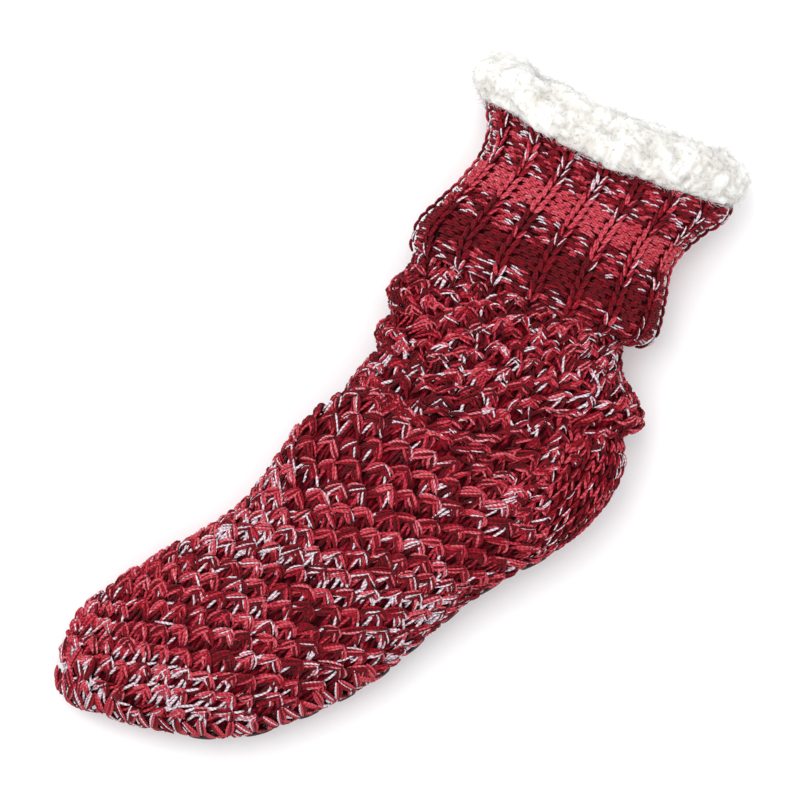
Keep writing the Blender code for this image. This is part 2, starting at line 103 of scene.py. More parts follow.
# Shares of the rise over the rim and of the pile's depth, from outside over the top and down inside
COLLAR_PROFILE = (
    (-0.10, 0.00), (0.030, 0.00), (0.030, -0.05), (0.060, -0.55),
    (0.20, -0.95), (0.36, -1.00), (0.52, -0.90), (0.68, -0.66), (0.84, -0.28), (0.96, 0.20),
    (1.00, 0.58), (0.92, 0.92), (0.72, 1.05), (0.42, 1.02), (0.10, 1.00), (-0.45, 1.00), (-1.00, 0.95),
)

# Camera: straight down on the sock as it lies, rolled to the photo's angle
PHOTO_MM_PER_PX = 0.415
PHOTO_ROLL = math.radians(52.0)
PHOTO_ORIGIN = (417.995, 445.114)
PHOTO_WIDTH = 0.332
CAMERA_PLACE = (0.01015, 0.0174, 1.5)
MID_Z = 0.025

FINE_STEP = 0.0005
FINE_ANGLES = np.linspace(0.0, 2.0 * math.pi, 721)
TOE_CAP = SECTIONS[0][1] * FOOT_RUN
FLOOR_GAP = 0.1 * MM


def turned(right, up):
    """Frame x and y of a place given by the photo's right and up."""
    cos, sin = math.cos(PHOTO_ROLL), math.sin(PHOTO_ROLL)
    return np.array((right * cos + up * sin, -right * sin + up * cos))


def plan_of(px, py):
    """Frame x and y, in metres, of a point given in the photo's 800 px frame."""
    right = (px - PHOTO_ORIGIN[0]) * PHOTO_MM_PER_PX * MM
    up = (PHOTO_ORIGIN[1] - py) * PHOTO_MM_PER_PX * MM
    return turned(right, up)


def photo_of(points):
    """Photo frame px of frame points, for masks drawn over the photo's outline."""
    cos, sin = math.cos(PHOTO_ROLL), math.sin(PHOTO_ROLL)
    right = points[..., 0] * cos - points[..., 1] * sin
    up = points[..., 0] * sin + points[..., 1] * cos
    px = PHOTO_ORIGIN[0] + right / (PHOTO_MM_PER_PX * MM)
    py = PHOTO_ORIGIN[1] - up / (PHOTO_MM_PER_PX * MM)
    return np.stack((px, py), axis=-1)


def unit(vectors):
    return vectors / np.maximum(np.linalg.norm(vectors, axis=-1, keepdims=True), 1e-12)


def along(run, share):
    return RUN_START[run] + share * RUN_LENGTH[run]


def smooth_step(x):
    x = np.clip(x, 0.0, 1.0)
    return x * x * (3 - 2 * x)


def smooth_through(x, xs, ys):
    """Value at x of a smooth curve through the rows, level past both ends."""
    x = min(max(x, xs[0]), xs[-1])
    i = max(int(min(np.searchsorted(xs, x, side="right"), len(xs) - 1)) - 1, 0)
    span = xs[i + 1] - xs[i]
    slope = (ys[i + 1] - ys[i]) / span
    before = (ys[i] - ys[i - 1]) / (xs[i] - xs[i - 1]) if i > 0 else 0.0 * slope
    after = (ys[i + 2] - ys[i + 1]) / (xs[i + 2] - xs[i + 1]) if i + 2 < len(xs) else 0.0 * slope
    start, end = 0.5 * (before + slope), 0.5 * (slope + after)
    t = (x - xs[i]) / span
    return ((2 * t**3 - 3 * t**2 + 1) * ys[i] + (t**3 - 2 * t**2 + t) * span * start
            + (3 * t**2 - 2 * t**3) * ys[i + 1] + (t**3 - t**2) * span * end)


def rows_of(sections):
    """Where the sections lie on the centre line, and the front, back and thickness of each in metres."""
    places = [along(run, share) for run, share, *_ in sections]
    sizes = [(width * front, width * back, thickness * share)
             for _, _, width, front, back, thickness, share in sections]
    return places, np.array(sizes)


FOOT_AND_LEG, CUFF = rows_of(SECTIONS), rows_of(CUFF_SECTIONS)
HEADING_AT = [along(run, share) for run, share, _ in HEADINGS]
LINE_AT = np.arange(0.0, RIM + COLLAR_RISE + 2 * FINE_STEP, FINE_STEP)
LINE_HEADING = np.radians(np.interp(LINE_AT, HEADING_AT, [degrees for *_, degrees in HEADINGS]))
LINE_X = TOE_TIP[0] + np.concatenate(([0.0], np.cumsum(np.cos(LINE_HEADING[:-1]) * FINE_STEP)))
LINE_Y = TOE_TIP[1] + np.concatenate(([0.0], np.cumsum(np.sin(LINE_HEADING[:-1]) * FINE_STEP)))
RIM_LIFT = PILE_PUFF - PILE_SQUASH


def floor_height(s):
    """How far the pile lifts the cuff off the floor."""
    start = along("cuff", 0.35)
    return RIM_LIFT * smooth_step((s - start) / (RIM - start))


def across_leg(angles, front, face, back):
    """Share at each angle of a line that crosses the front, the face and the back at these shares."""
    side = 0.5 - 0.5 * np.cos(angles)
    return (1 - side) ** 2 * front + 2 * side * (1 - side) * face + side**2 * back


def trough_depth(s, angles):
    """Depth of the slump troughs round the section at s."""
    depth = np.zeros(len(angles))
    front = np.maximum(np.cos(angles), 0.0) ** 2
    back = np.maximum(-np.cos(angles), 0.0) ** 2
    face = np.sin(angles) ** 2
    for at_front, at_face, at_back, half, front_depth, face_depth, back_depth in TROUGHS:
        place = RUN_START["leg"] + across_leg(angles, at_front, at_face, at_back) * LEG_RUN
        fall = np.exp(-(((s - place) / (half * LEG_RUN)) ** 2))
        depth += fall * (front * front_depth + back * back_depth + face * face_depth) * KNIT_WALL
    under = UNDERSIDE_TROUGH + (1 - UNDERSIDE_TROUGH) * np.cos(angles) ** 2
    return depth * np.where(np.sin(angles) < 0.0, under, 1.0)


def section_shape(rows, s, angles, inset=0.0):
    """Points and outward normals round one section, across and up, before the troughs."""
    front, back, thickness = smooth_through(max(s, TOE_CAP), *rows)
    cap = 1.0
    if s < TOE_CAP:
        cap = math.sqrt(max(0.0, 1.0 - ((TOE_CAP - s) / (TOE_CAP - inset)) ** 2))
    floor = floor_height(s)
    middle = 0.5 * (front - back) * cap
    half = (0.5 * (front + back) - inset) * cap
    centre_height = thickness * MID_HEIGHT
    upper = (thickness - centre_height - inset) * cap
    lower = (centre_height * FLOOR_PRESS - inset) * cap
    cos, sin = np.cos(angles), np.sin(angles)
    power = np.where(sin >= 0.0, UPPER_ROUND, LOWER_ROUND)
    height = np.where(sin >= 0.0, upper, lower)
    across = np.sign(cos) * np.abs(cos) ** (2 / power)
    up = np.sign(sin) * np.abs(sin) ** (2 / power)
    normal_across = np.sign(across) * np.abs(across) ** (power - 1) / max(half, 1e-6)
    normal_up = np.sign(up) * np.abs(up) ** (power - 1) / np.maximum(height, 1e-6)
    size = np.hypot(normal_across, normal_up)
    points = np.column_stack((middle + half * across, floor + centre_height + height * up))
    points[:, 1] = np.maximum(points[:, 1], floor + inset * cap)
    return points, np.column_stack((normal_across / size, normal_up / size))


def even_angles(rows, s, count):
    """Angles that divide the section at s into even steps."""
    points, _ = section_shape(rows, s, FINE_ANGLES)
    steps = np.hypot(*np.diff(points, axis=0).T)
    length = np.concatenate(([0.0], np.cumsum(steps)))
    return np.interp(np.arange(count) / count * length[-1], length, FINE_ANGLES)


def rim_dip(s, angles):
    """How far the rim hangs back at the faces."""
    start = along("cuff", 0.5)
    share = np.clip((s - start) / (RIM - start), 0.0, 1.0)
    dip = np.where(np.sin(angles) > 0.0, RIM_DIP, UNDER_DIP)
    return dip * share * np.sin(angles) ** 2


def place_ring(s, points):
    """Frame points of a section's points, across and up, at s along the centre line."""
    heading = np.interp(s, LINE_AT, LINE_HEADING)
    x = np.interp(s, LINE_AT, LINE_X) - np.sin(heading) * points[:, 0]
    y = np.interp(s, LINE_AT, LINE_Y) + np.cos(heading) * points[:, 0]
    return np.column_stack((x, y, points[:, 1]))


def knit_ring(rows, s, section_at):
    """Ring of the knit's outside at s, with the section that its rows give at section_at."""
    angles = even_angles(rows, max(section_at, TOE_CAP), AROUND)
    points, normals = section_shape(rows, section_at, angles)
    points = points - normals * trough_depth(s, angles)[:, None]
    points[:, 1] = np.maximum(points[:, 1], floor_height(section_at))
    return place_ring(s - rim_dip(s, angles), points), angles


class Skin:
    """A surface as a grid of rings: rows along the sock, columns round it, closed round."""

    def __init__(self, rows, normals=None):
        self.points = np.array(rows)
        if normals is None:
            down = np.gradient(self.points, axis=0)
            round_ = np.roll(self.points, -1, axis=1) - np.roll(self.points, 1, axis=1)
            normals = unit(np.cross(round_, down))
        self.normals = normals

    def at(self, row, column, lift=0.0):
        """Points that stand lift over the surface; row in rings, column as a share of the way round."""
        count, around = self.points.shape[:2]
        row = np.clip(row, 0.0, count - 1.001)
        column = np.mod(column, 1.0) * around
        i, j = row.astype(int), column.astype(int) % around
        u, v = (row - i)[..., None], (column - np.floor(column))[..., None]
        n = (j + 1) % around

        def mix(grid):
            return ((grid[i, j] * (1 - v) + grid[i, n] * v) * (1 - u)
                    + (grid[i + 1, j] * (1 - v) + grid[i + 1, n] * v) * u)

        normal = unit(mix(self.normals))
        return mix(self.points) + normal * np.asarray(lift)[..., None], normal


def nudged(points, nudges):
    """Points moved across the photo near each listed spot, so that the knit's edge keeps the photo's line."""
    place, moved = photo_of(points), points.copy()
    for (px, py), (wide, tall), (right, down) in nudges:
        share = np.exp(-((place[..., 0] - px) / wide) ** 2 - ((place[..., 1] - py) / tall) ** 2)
        moved[..., :2] += share[..., None] * (plan_of(px + right, py + down) - plan_of(px, py))
    return moved


# Photo spot, reach and move of each nudge, in px
LEG_NUDGES = (((642, 368), (34, 20), (-12, 0)), ((648, 408), (24, 14), (-4, 0)),
              ((398, 262), (14, 12), (4, 3)), ((90, 600), (20, 20), (2, 2)))
CUFF_NUDGES = (((684, 272), (20, 26), (-5, -2)), ((722, 216), (18, 14), (5, 3)),
               ((644, 354), (22, 10), (-1, -4)))

# The foot and leg's skin, sunk so that the loops reach the photo's edge
AROUND, RING_STEP, TOE_RINGS = 384, 0.9 * MM, 16
LOOP_DEPTH = 0.7 * MM
TOE_ANGLES = np.linspace(0.03, 0.5 * math.pi, TOE_RINGS, endpoint=False)
STATIONS = np.concatenate((TOE_CAP * (1 - np.cos(TOE_ANGLES)), np.arange(TOE_CAP, LIP + LIP_TUCK, RING_STEP)))
RINGS = [knit_ring(FOOT_AND_LEG, s, min(s, LIP)) for s in STATIONS]
RING_ANGLES = np.array([angles for _, angles in RINGS])
OUTER_SKIN = Skin(nudged(np.array([ring for ring, _ in RINGS]), LEG_NUDGES))
FOOT_SKIN = Skin(OUTER_SKIN.points - OUTER_SKIN.normals * LOOP_DEPTH, OUTER_SKIN.normals)

RING_NUMBERS, COLUMN_NUMBERS = np.arange(len(STATIONS)), np.arange(AROUND)
PERIMETERS = np.linalg.norm(np.roll(FOOT_SKIN.points, -1, axis=1) - FOOT_SKIN.points, axis=2).sum(axis=1)
EDGE_SHARES = np.array([np.interp(math.pi, angles, COLUMN_NUMBERS) / AROUND for angles in RING_ANGLES])


def line_crossings(front_px, back_px):
    """For each column, the ring number where the skin crosses the upright plane through two photo points."""
    a, b = plan_of(*front_px), plan_of(*back_px)
    across = b - a
    normal = np.array((-across[1], across[0]))
    if normal[0] < 0.0:
        normal = -normal
    side = (FOOT_SKIN.points[:, :, :2] - a) @ normal
    i = np.maximum(np.argmax(side > 0.0, axis=0), 1)
    low, high = side[i - 1, COLUMN_NUMBERS], side[i, COLUMN_NUMBERS]
    return i - 1 + np.clip(-low / (high - low), 0.0, 1.0)


def leg_crossings(front, face, back):
    """For each column, the ring number where a slump line crosses it."""
    places = FOOT_RUN + LEG_RUN * across_leg(RING_ANGLES, front, face, back)
    return np.array([np.interp(0.0, STATIONS - places[:, j], RING_NUMBERS) for j in COLUMN_NUMBERS])


# Course number, its place by two photo points or by shares of the leg, and the drift of its wales
COURSES = (
    (-3.5, line_crossings, ((47, 668), (80, 716)), -1.2),
    (0.0, line_crossings, ((58, 640), (112, 716)), 0.0),
    (5.0, line_crossings, ((100, 593), (228, 728)), 1.95),
    (8.5, line_crossings, ((140, 566), (290, 722)), 2.97),
    (15.5, line_crossings, ((200, 520), (378, 668)), 3.60),
    (22.0, line_crossings, ((250, 470), (446, 612)), 3.72),
    (26.2, line_crossings, ((300, 425), (480, 592)), 3.95),
    (29.4, line_crossings, ((345, 392), (512, 578)), 4.15),
    (32.0, line_crossings, ((368, 362), (545, 566)), 4.10),
    (36.0, leg_crossings, (-0.28, -0.14, -0.02), 4.00),
    (40.6, leg_crossings, (0.14, 0.26, 0.40), 3.80),
    (44.4, leg_crossings, (0.46, 0.60, 0.74), 3.60),
    (47.4, leg_crossings, (0.78, 0.86, 0.95), 3.45),
    (49.4, leg_crossings, (1.02, 1.04, 1.06), 3.40),
)
FIRST_COURSE, LAST_COURSE = -3, int(COURSES[-1][0])
WALES, SMALLEST_WALE = 16, 12.2 * MM
COURSE_STEP = 0.25


class Knit:
    """Coordinates of the waffle knit: courses along the sock, wales round it from the upper face."""

    def __init__(self):
        numbers = [number for number, *_ in COURSES]
        crossings = [crossing(*place) for _, crossing, place, _ in COURSES]
        drifts = [drift for *_, drift in COURSES]
        self.numbers = np.arange(numbers[0], numbers[-1] + 0.5 * COURSE_STEP, COURSE_STEP)
        columns = COLUMN_NUMBERS / AROUND
        rings, normals, perimeters = [], [], []
        for number in self.numbers:
            row = smooth_through(number, numbers, crossings)
            points, normal = FOOT_SKIN.at(row, columns)
            steps = np.linalg.norm(np.roll(points, -1, axis=0) - points, axis=1)
            arc = np.concatenate(([0.0], np.cumsum(steps)))
            angles = RING_ANGLES[np.clip(row.astype(int), 0, len(RING_ANGLES) - 1), COLUMN_NUMBERS]
            middle = np.interp(np.interp(0.5 * math.pi, angles, COLUMN_NUMBERS), COLUMN_NUMBERS, arc[:-1])
            wanted = np.mod(middle + columns * arc[-1], arc[-1])
            for grid, rows in ((points, rings), (normal, normals)):
                closed = np.vstack((grid, grid[:1]))
                rows.append(np.column_stack([np.interp(wanted, arc, closed[:, k]) for k in range(3)]))
            perimeters.append(arc[-1])
        self.perimeter = np.array(perimeters)
        self.wale = np.maximum(self.perimeter / WALES, SMALLEST_WALE)
        self.drift = np.array([smooth_through(number, numbers, drifts) for number in self.numbers])
        self.skin = Skin(rings, np.array(normals))

    def at(self, course, wale, lift=0.0):
        size = np.interp(course, self.numbers, self.wale / self.perimeter)
        drift = np.interp(course, self.numbers, self.drift)
        return self.skin.at((course - self.numbers[0]) / COURSE_STEP, (wale - drift) * size, lift)


KNIT = Knit()
rng = np.random.default_rng(SEED)


def inside(points, polygon):
    """Whether each photo point lies in the polygon."""
    x, y = points[..., 0], points[..., 1]
    result = np.zeros(x.shape, bool)
    for (x0, y0), (x1, y1) in zip(polygon, polygon[1:] + polygon[:1]):
        crosses = (y0 > y) != (y1 > y)
        at = x0 + (y - y0) * (x1 - x0) / (y1 - y0 if y1 != y0 else 1e-9)
        result ^= crosses & (x < at)
    return result


def noise3(points, size, seed):
    """Smooth value noise, 0 to 1, with lumps of this size."""
    p = np.asarray(points) / size
    base = np.floor(p).astype(np.int64)
    f = p - base
    f = f * f * (3 - 2 * f)

    def corner(dx, dy, dz):
        h = ((base[..., 0] + dx) * 73856093) ^ ((base[..., 1] + dy) * 19349663)
        h = h ^ ((base[..., 2] + dz) * 83492791) ^ (seed * 2654435761)
        h = (h ^ (h >> 13)) * 1274126177
        return ((h ^ (h >> 16)) & 0xFFFF) / 65535.0

    total = 0.0
    for steps in itertools.product((0, 1), repeat=3):
        weight = math.prod(f[..., k] if step else 1 - f[..., k] for k, step in enumerate(steps))
        total = total + weight * corner(*steps)
    return total


def curls(points, size, seed):
    """Noise with creased valleys, as between locks of pile."""
    return np.abs(2 * noise3(points, size, seed) - 1)


def mesh_piece(name, vertices, faces, values):
    """A smooth mesh object from arrays; faces are groups of equal length rows."""
    mesh = bpy.data.meshes.new(name)
    mesh.vertices.add(len(vertices))
    mesh.vertices.foreach_set("co", np.asarray(vertices, np.float32).ravel())
    loops = np.concatenate([f.ravel() for f in faces]).astype(np.int32)
    totals = np.concatenate([np.full(len(f), f.shape[1]) for f in faces]).astype(np.int32)
    starts = np.concatenate(([0], np.cumsum(totals)[:-1])).astype(np.int32)
    mesh.loops.add(len(loops))
    mesh.loops.foreach_set("vertex_index", loops)
    mesh.polygons.add(len(totals))
    mesh.polygons.foreach_set("loop_start", starts)
    mesh.polygons.foreach_set("use_smooth", np.full(len(totals), True))
    mesh.update(calc_edges=True)
    mesh.validate()
    for key, data in values:
        layer = mesh.attributes.new(key, "FLOAT", "POINT")
        layer.data.foreach_set("value", np.asarray(data, np.float32).ravel())
    piece = bpy.data.objects.new(name, mesh)
    bpy.context.scene.collection.objects.link(piece)
    return piece


TUBE_SIDES = 4


def tube_arrays(paths, ups, radius, tone, sides=TUBE_SIDES):
    """Vertices, faces and values of many tubes: paths and ups are tubes x points x 3."""
    shape = paths.shape[:2] + (sides,)
    radius = np.broadcast_to(radius, shape[:2])
    paths = paths.copy()
    paths[..., 2] = np.maximum(paths[..., 2], radius + FLOOR_GAP)
    tangent = unit(np.gradient(paths, axis=1))
    side = unit(np.cross(tangent, ups))
    up = np.cross(side, tangent)
    turn = 2 * math.pi * np.arange(sides) / sides
    vertices = paths[:, :, None, :] + radius[:, :, None, None] * (
        np.cos(turn)[None, None, :, None] * side[:, :, None, :]
        + np.sin(turn)[None, None, :, None] * up[:, :, None, :])
    steps = np.linalg.norm(np.diff(paths, axis=1), axis=2)
    run = np.concatenate((np.zeros((shape[0], 1)), np.cumsum(steps, axis=1)), axis=1)
    index = np.arange(math.prod(shape)).reshape(shape)
    nxt = np.roll(index, -1, axis=2)
    quads = np.stack((index[:, :-1], nxt[:, :-1], nxt[:, 1:], index[:, 1:]), axis=-1).reshape(-1, 4)
    caps = np.concatenate((index[:, 0, ::-1], index[:, -1, :]))
    values = (
        ("tone", np.broadcast_to(np.broadcast_to(tone, shape[:2])[:, :, None], shape)),
        ("run", np.broadcast_to(run[:, :, None], shape)),
        ("turn", np.broadcast_to(turn / (2 * math.pi), shape)),
    )
    return vertices.reshape(-1, 3), [quads, caps], values


def grid_mesh(points, tone=0.0, start_cap=False):
    """Vertices, faces and values of a grid of rings."""
    rows, columns = points.shape[:2]
    index = np.arange(rows * columns).reshape(rows, columns)
    nxt = np.roll(index, -1, axis=1)
    faces = [np.stack((index[:-1], nxt[:-1], nxt[1:], index[1:]), axis=-1).reshape(-1, 4)]
    if start_cap:
        faces.append(index[0][::-1][None, :])
    return points.reshape(-1, 3), faces, (("tone", np.broadcast_to(tone, (rows, columns)).ravel()),)


def join_arrays(parts):
    """One set of vertices, faces and values from several."""
    vertices, faces, values, start = [], {}, {}, 0
    for points, groups, attributes in parts:
        vertices.append(points)
        for group in groups:
            faces.setdefault(group.shape[1], []).append(group + start)
        for key, data in attributes:
            values.setdefault(key, []).append(np.asarray(data).ravel())
        start += len(points)
    return (np.vstack(vertices), [np.vstack(groups) for groups in faces.values()],
            [(key, np.concatenate(data)) for key, data in values.items()])


def yarn(plies, pick=slice(None)):
    """The picked tubes of every ply, joined. A ply is a path, up, radius and tone for each tube."""
    return join_arrays([tube_arrays(*(grid[pick] for grid in ply)) for ply in plies])


# Yarn: tones run from 0, deepest red, through rose to 1, white
DEEP, RED, ROSE, CORAL, WHITE = 0.06, 0.25, 0.58, 0.72, 0.97
LOOKS_WHITE = 0.85
TONE_SPREAD, PLY_TONE_SPREAD = 0.05, 0.03
PLY_RADIUS = 0.54 * MM
PLIES = 4
JITTERS = 8
LEG_COURSE = 31.0
LOOP_POINTS, SLACK_POINTS = 6, 5
FAN_POINTS, FAN_PLIES = 4, 6
FAN_LENGTH, FAN_SPACING, FAN_ANGLE, FAN_PLY = 8.6 * MM, 1.25 * MM, 12.0, 1.12 * PLY_RADIUS

# Photo outlines of the heel's plain knit, and of the part of it that has no waffle loops
HEEL_SOLE = ((498, 476), (534, 560), (575, 610), (680, 570), (652, 510), (613, 492), (563, 471), (540, 458))
HEEL_BACK = ((536, 460), (563, 471), (613, 492), (652, 510), (680, 475), (662, 430), (600, 432), (552, 435))
HEEL_SOLE_INNER = ((516, 484), (550, 556), (575, 600), (680, 570), (652, 510), (613, 492), (563, 471),
                   (548, 466))
HEEL_BACK_INNER = ((548, 466), (563, 471), (613, 492), (652, 510), (680, 475), (662, 442), (600, 446),
                   (562, 452))
TOE_BAND_WIDTH, TOE_BAND_END = 15.0 * MM, 0.112
CROWDED_ROW, TIGHT_ROW, LEAST_ROW = 2.6 * MM, 1.5 * MM, 3.4 * MM


def edge_at(s, below, lift=0.0):
    """Point of the foot or leg at station s, this far round from the sole edge towards the underside."""
    number = np.interp(s, STATIONS, RING_NUMBERS)
    share = np.interp(number, RING_NUMBERS, EDGE_SHARES)
    size = np.interp(number, RING_NUMBERS, PERIMETERS)
    return FOOT_SKIN.at(number, share + below / size, lift)


def edge_place(points):
    """Station and distance round from the sole edge of points on the skin."""
    flat = FOOT_SKIN.points.reshape(-1, 3)
    nearest = np.array([int(np.argmin(((flat - point) ** 2).sum(axis=1))) for point in points])
    i, j = np.divmod(nearest, AROUND)
    return STATIONS[i], (j / AROUND - EDGE_SHARES[i]) * PERIMETERS[i]


class Sites:
    """Places of loops on the knit, with the local course and wale spacing in metres."""

    def __init__(self, course, wale, row_size, wale_size):
        self.course, self.wale = course, wale
        self.row_size, self.wale_size = row_size, wale_size

    def moved(self, courses, wales, pick=slice(None)):
        return Sites(self.course[pick] + courses, self.wale[pick] + wales,
                     self.row_size[pick], self.wale_size[pick])

    def at(self, x, y, height):
        """Points x across, y ahead and height over the knit from each site."""
        return KNIT.at(self.course[:, None] + y / self.row_size[:, None],
                       self.wale[:, None] + x / self.wale_size[:, None], height)


def loop_sites():
    """Where waffle loops stand: all over the knit but for the heel, the toe's edge and crowded courses."""
    courses, wales = [], []
    for row in range(FIRST_COURSE, LAST_COURSE + 1):
        around = np.interp(row, KNIT.numbers, KNIT.perimeter) / np.interp(row, KNIT.numbers, KNIT.wale)
        drift = np.interp(row, KNIT.numbers, KNIT.drift)
        wale = np.arange(-WALES, WALES) + 0.5 * (row % 2)
        wale = wale[(wale - drift >= -0.5 * around) & (wale - drift < 0.5 * around)]
        courses.append(np.full(len(wale), float(row)))
        wales.append(wale)
    course, wale = np.concatenate(courses), np.concatenate(wales)
    middle = KNIT.at(course, wale)[0]
    place = photo_of(middle)
    row_size = np.linalg.norm(KNIT.at(course + 0.5, wale)[0] - KNIT.at(course - 0.5, wale)[0], axis=1)
    wale_size = np.linalg.norm(KNIT.at(course, wale + 0.25)[0] - KNIT.at(course, wale - 0.25)[0], axis=1) * 2
    keep = ~(inside(place, HEEL_SOLE_INNER) | inside(place, HEEL_BACK_INNER))
    keep &= (row_size > CROWDED_ROW) | ((row_size > TIGHT_ROW) & (course % 2 < 0.5))
    s, below = edge_place(middle)
    keep &= ~((np.abs(below) < TOE_BAND_WIDTH) & (s < TOE_BAND_END))
    return Sites(course[keep], wale[keep], np.maximum(row_size, LEAST_ROW)[keep], wale_size[keep])


SITES = loop_sites()

# How much white yarn shows along the sock, by course
WHITE_LEVELS = ((0.0, 0.74), (4.0, 0.68), (8.0, 0.28), (13.0, 0.06), (18.0, 0.40), (23.0, 0.40),
                (29.0, 0.08), (34.0, 0.07), (40.0, 0.12), (49.0, 0.13))


def white_level(course):
    return np.interp(course, *zip(*WHITE_LEVELS))


def at_toe(course):
    return 1.0 - smooth_step((course - 3.0) / 9.0)


def white_patches(course, wale):
    """Noise that gathers the white yarn in patches."""
    return noise3(np.column_stack((course * 0.45, wale * 0.25, np.zeros(len(course)))), 1.0, 3)


def loop_tones(course, wale):
    """Tone of each ply of each loop, outer ply first."""
    n = len(course)
    patch = white_patches(course, wale)
    dark = noise3(np.column_stack((course * 0.28, wale * 0.16, np.full(n, 5.0))), 1.0, 4)
    a, b, c, d = rng.random((n, PLIES)).T
    whites = white_level(course) * (0.35 + 2.0 * smooth_step((patch - 0.30) / 0.40))
    darks = 0.12 + 0.62 * smooth_step((dark - 0.45) / 0.30)
    darks *= np.interp(course, (4.0, 12.0), (0.10, 1.0))
    in_leg = smooth_step((course - 30.0) / 5.0)
    toe = at_toe(course)
    tones = np.column_stack((
        np.where(a < 0.24 + 0.6 * darks - 0.14 * toe, RED, CORAL),
        np.where(b < 0.20 + 0.8 * darks + 0.22 * in_leg, DEEP, np.where(b > 0.96, WHITE, ROSE)),
        np.where(c < 1.8 * whites, WHITE, np.where(d < 0.4, CORAL, RED)),
        np.where(d < 0.62 + 0.3 * darks - 0.34 * toe, DEEP, ROSE)))
    swap = a > 0.72
    tones[swap] = tones[swap][:, (1, 0, 3, 2)]
    return np.clip(tones + rng.normal(0.0, TONE_SPREAD, (n, PLIES)), 0.0, 1.0)


def under_tones(course, wale):
    """Tone of one ply of each loop in the shade, with painted shade: white stays, rose and red are lowered
    and the rest falls below the deepest red.
    """
    white = white_level(course) * (0.35 + 1.7 * smooth_step((white_patches(course, wale) - 0.30) / 0.4))
    toe = at_toe(course)
    rose = white + (0.34 + 0.26 * toe) * (1 - white)
    red = white + (0.60 + 0.24 * toe) * (1 - white)
    draw = rng.random(len(course))
    # Painted shade: rose and red lowered, and the rest at tone 0, darker than the deepest yarn.
    shaded = np.where(draw < rose, ROSE - 0.08, np.where(draw < red, RED - 0.07, 0.0))
    return np.where(draw < white, WHITE, shaded)


ARM_LENGTH, ARM_ANGLE, ARM_TILT = 8.0 * MM, 40.0, 8.0
ARM_HEIGHT, ARM_DROP, ARM_LEAD = 1.00 * MM, 1.05 * MM, 0.9 * MM
# Where each side's arm starts, across from the apex and over the knit
APEX = {-1.0: (0.85 * MM, 0.75 * MM), 1.0: (-0.10 * MM, 0.25 * MM)}
USUAL_WALE = 14.5 * MM
PLY_SPACING = 0.97 * MM


def hook_arm(side, sites, jitter, in_leg, tones, lift=0.0, points_along=LOOP_POINTS, scale=1.0):
    """One arm of every hook-shaped loop, from the apex down: plies side by side, pinched at both ends."""
    n, plies = tones.shape
    t = np.linspace(0.0, 1.0, points_along)[None, :]
    toe = 1.0 - smooth_step((sites.course - 4.0) / 12.0)
    angle = ARM_ANGLE + 9.0 * in_leg - 9.0 * toe + 6.0 * jitter[:, 0] * (1 + 0.4 * in_leg)
    tilt = ARM_TILT + 6.0 * in_leg + 19.0 * toe + 6.0 * jitter[:, 2] * (1.0 + 0.6 * in_leg)
    lean = (np.radians(angle) * side + np.radians(tilt))[:, None]
    size = np.clip(sites.wale_size / USUAL_WALE, 0.84, 1.0) * scale
    length = ARM_LENGTH * size * (1 + 0.11 * jitter[:, 1]) * (1.0 - 0.04 * (side > 0)) * (1 - 0.20 * in_leg)
    length = length[:, None]
    ux, uy = np.sin(lean), -np.cos(lean)
    out_x, out_y = -uy * side, ux * side
    start, rise = APEX[side]
    bow = (0.36 - 0.16 * in_leg)[:, None] * MM * np.sin(math.pi * t)
    fanned = 0.40 + 0.65 * np.sin(math.pi * np.clip(0.08 + 0.84 * t, 0.0, 1.0))
    phase = rng.random((n, 1)) * 2 * math.pi
    arch = rise * (1 - t) + ARM_HEIGHT * np.sin(math.pi * np.clip(t, 0.0, 1.0)) ** 0.8 - ARM_DROP * t ** 2
    thickness = PLY_RADIUS * (0.56 + 0.54 * np.sin(math.pi * np.clip(0.06 + 0.9 * t, 0, 1)) ** 0.8)
    arm = []
    for k in range(plies):
        aside = 0.5 * (plies - 1) - k
        stray = rng.normal(0.0, 0.42 * MM, (n, 1)) * (t - 0.25)
        wander = 0.27 * MM * np.sin(3.4 * t + phase + 1.9 * k) + stray
        offset = aside * PLY_SPACING * fanned * size[:, None] + wander + bow
        reach = t * (1 + rng.normal(0.0, 0.08, (n, 1)))
        x = start * (1 - t) + ux * length * reach + out_x * offset
        y = -0.5 * MM * (side > 0) + uy * length * reach + out_y * offset + ARM_LEAD
        height = arch - 0.09 * MM * aside ** 2 + (0.22 * MM if k % 2 else -0.10 * MM)
        height = height + 0.26 * MM * np.sin(5.0 * t + 2.3 * k + phase) + lift
        points, normals = sites.at(x, y, height)
        white = tones[:, k] > LOOKS_WHITE
        radius = thickness * (1.0 - (0.24 + 0.10 * in_leg) * white + rng.normal(0.0, 0.09, n))[:, None]
        tone = tones[:, k][:, None] + rng.normal(0.0, PLY_TONE_SPREAD, (n, 1))
        fade = (rng.random((n, 1)) < 0.22) * smooth_step((t - rng.random((n, 1))) / 0.15)
        tone = np.clip(tone * (1 - fade) + np.where(tone > LOOKS_WHITE, ROSE, RED) * fade, 0.0, 1.0)
        arm.append((points, normals, radius, tone))
    return arm


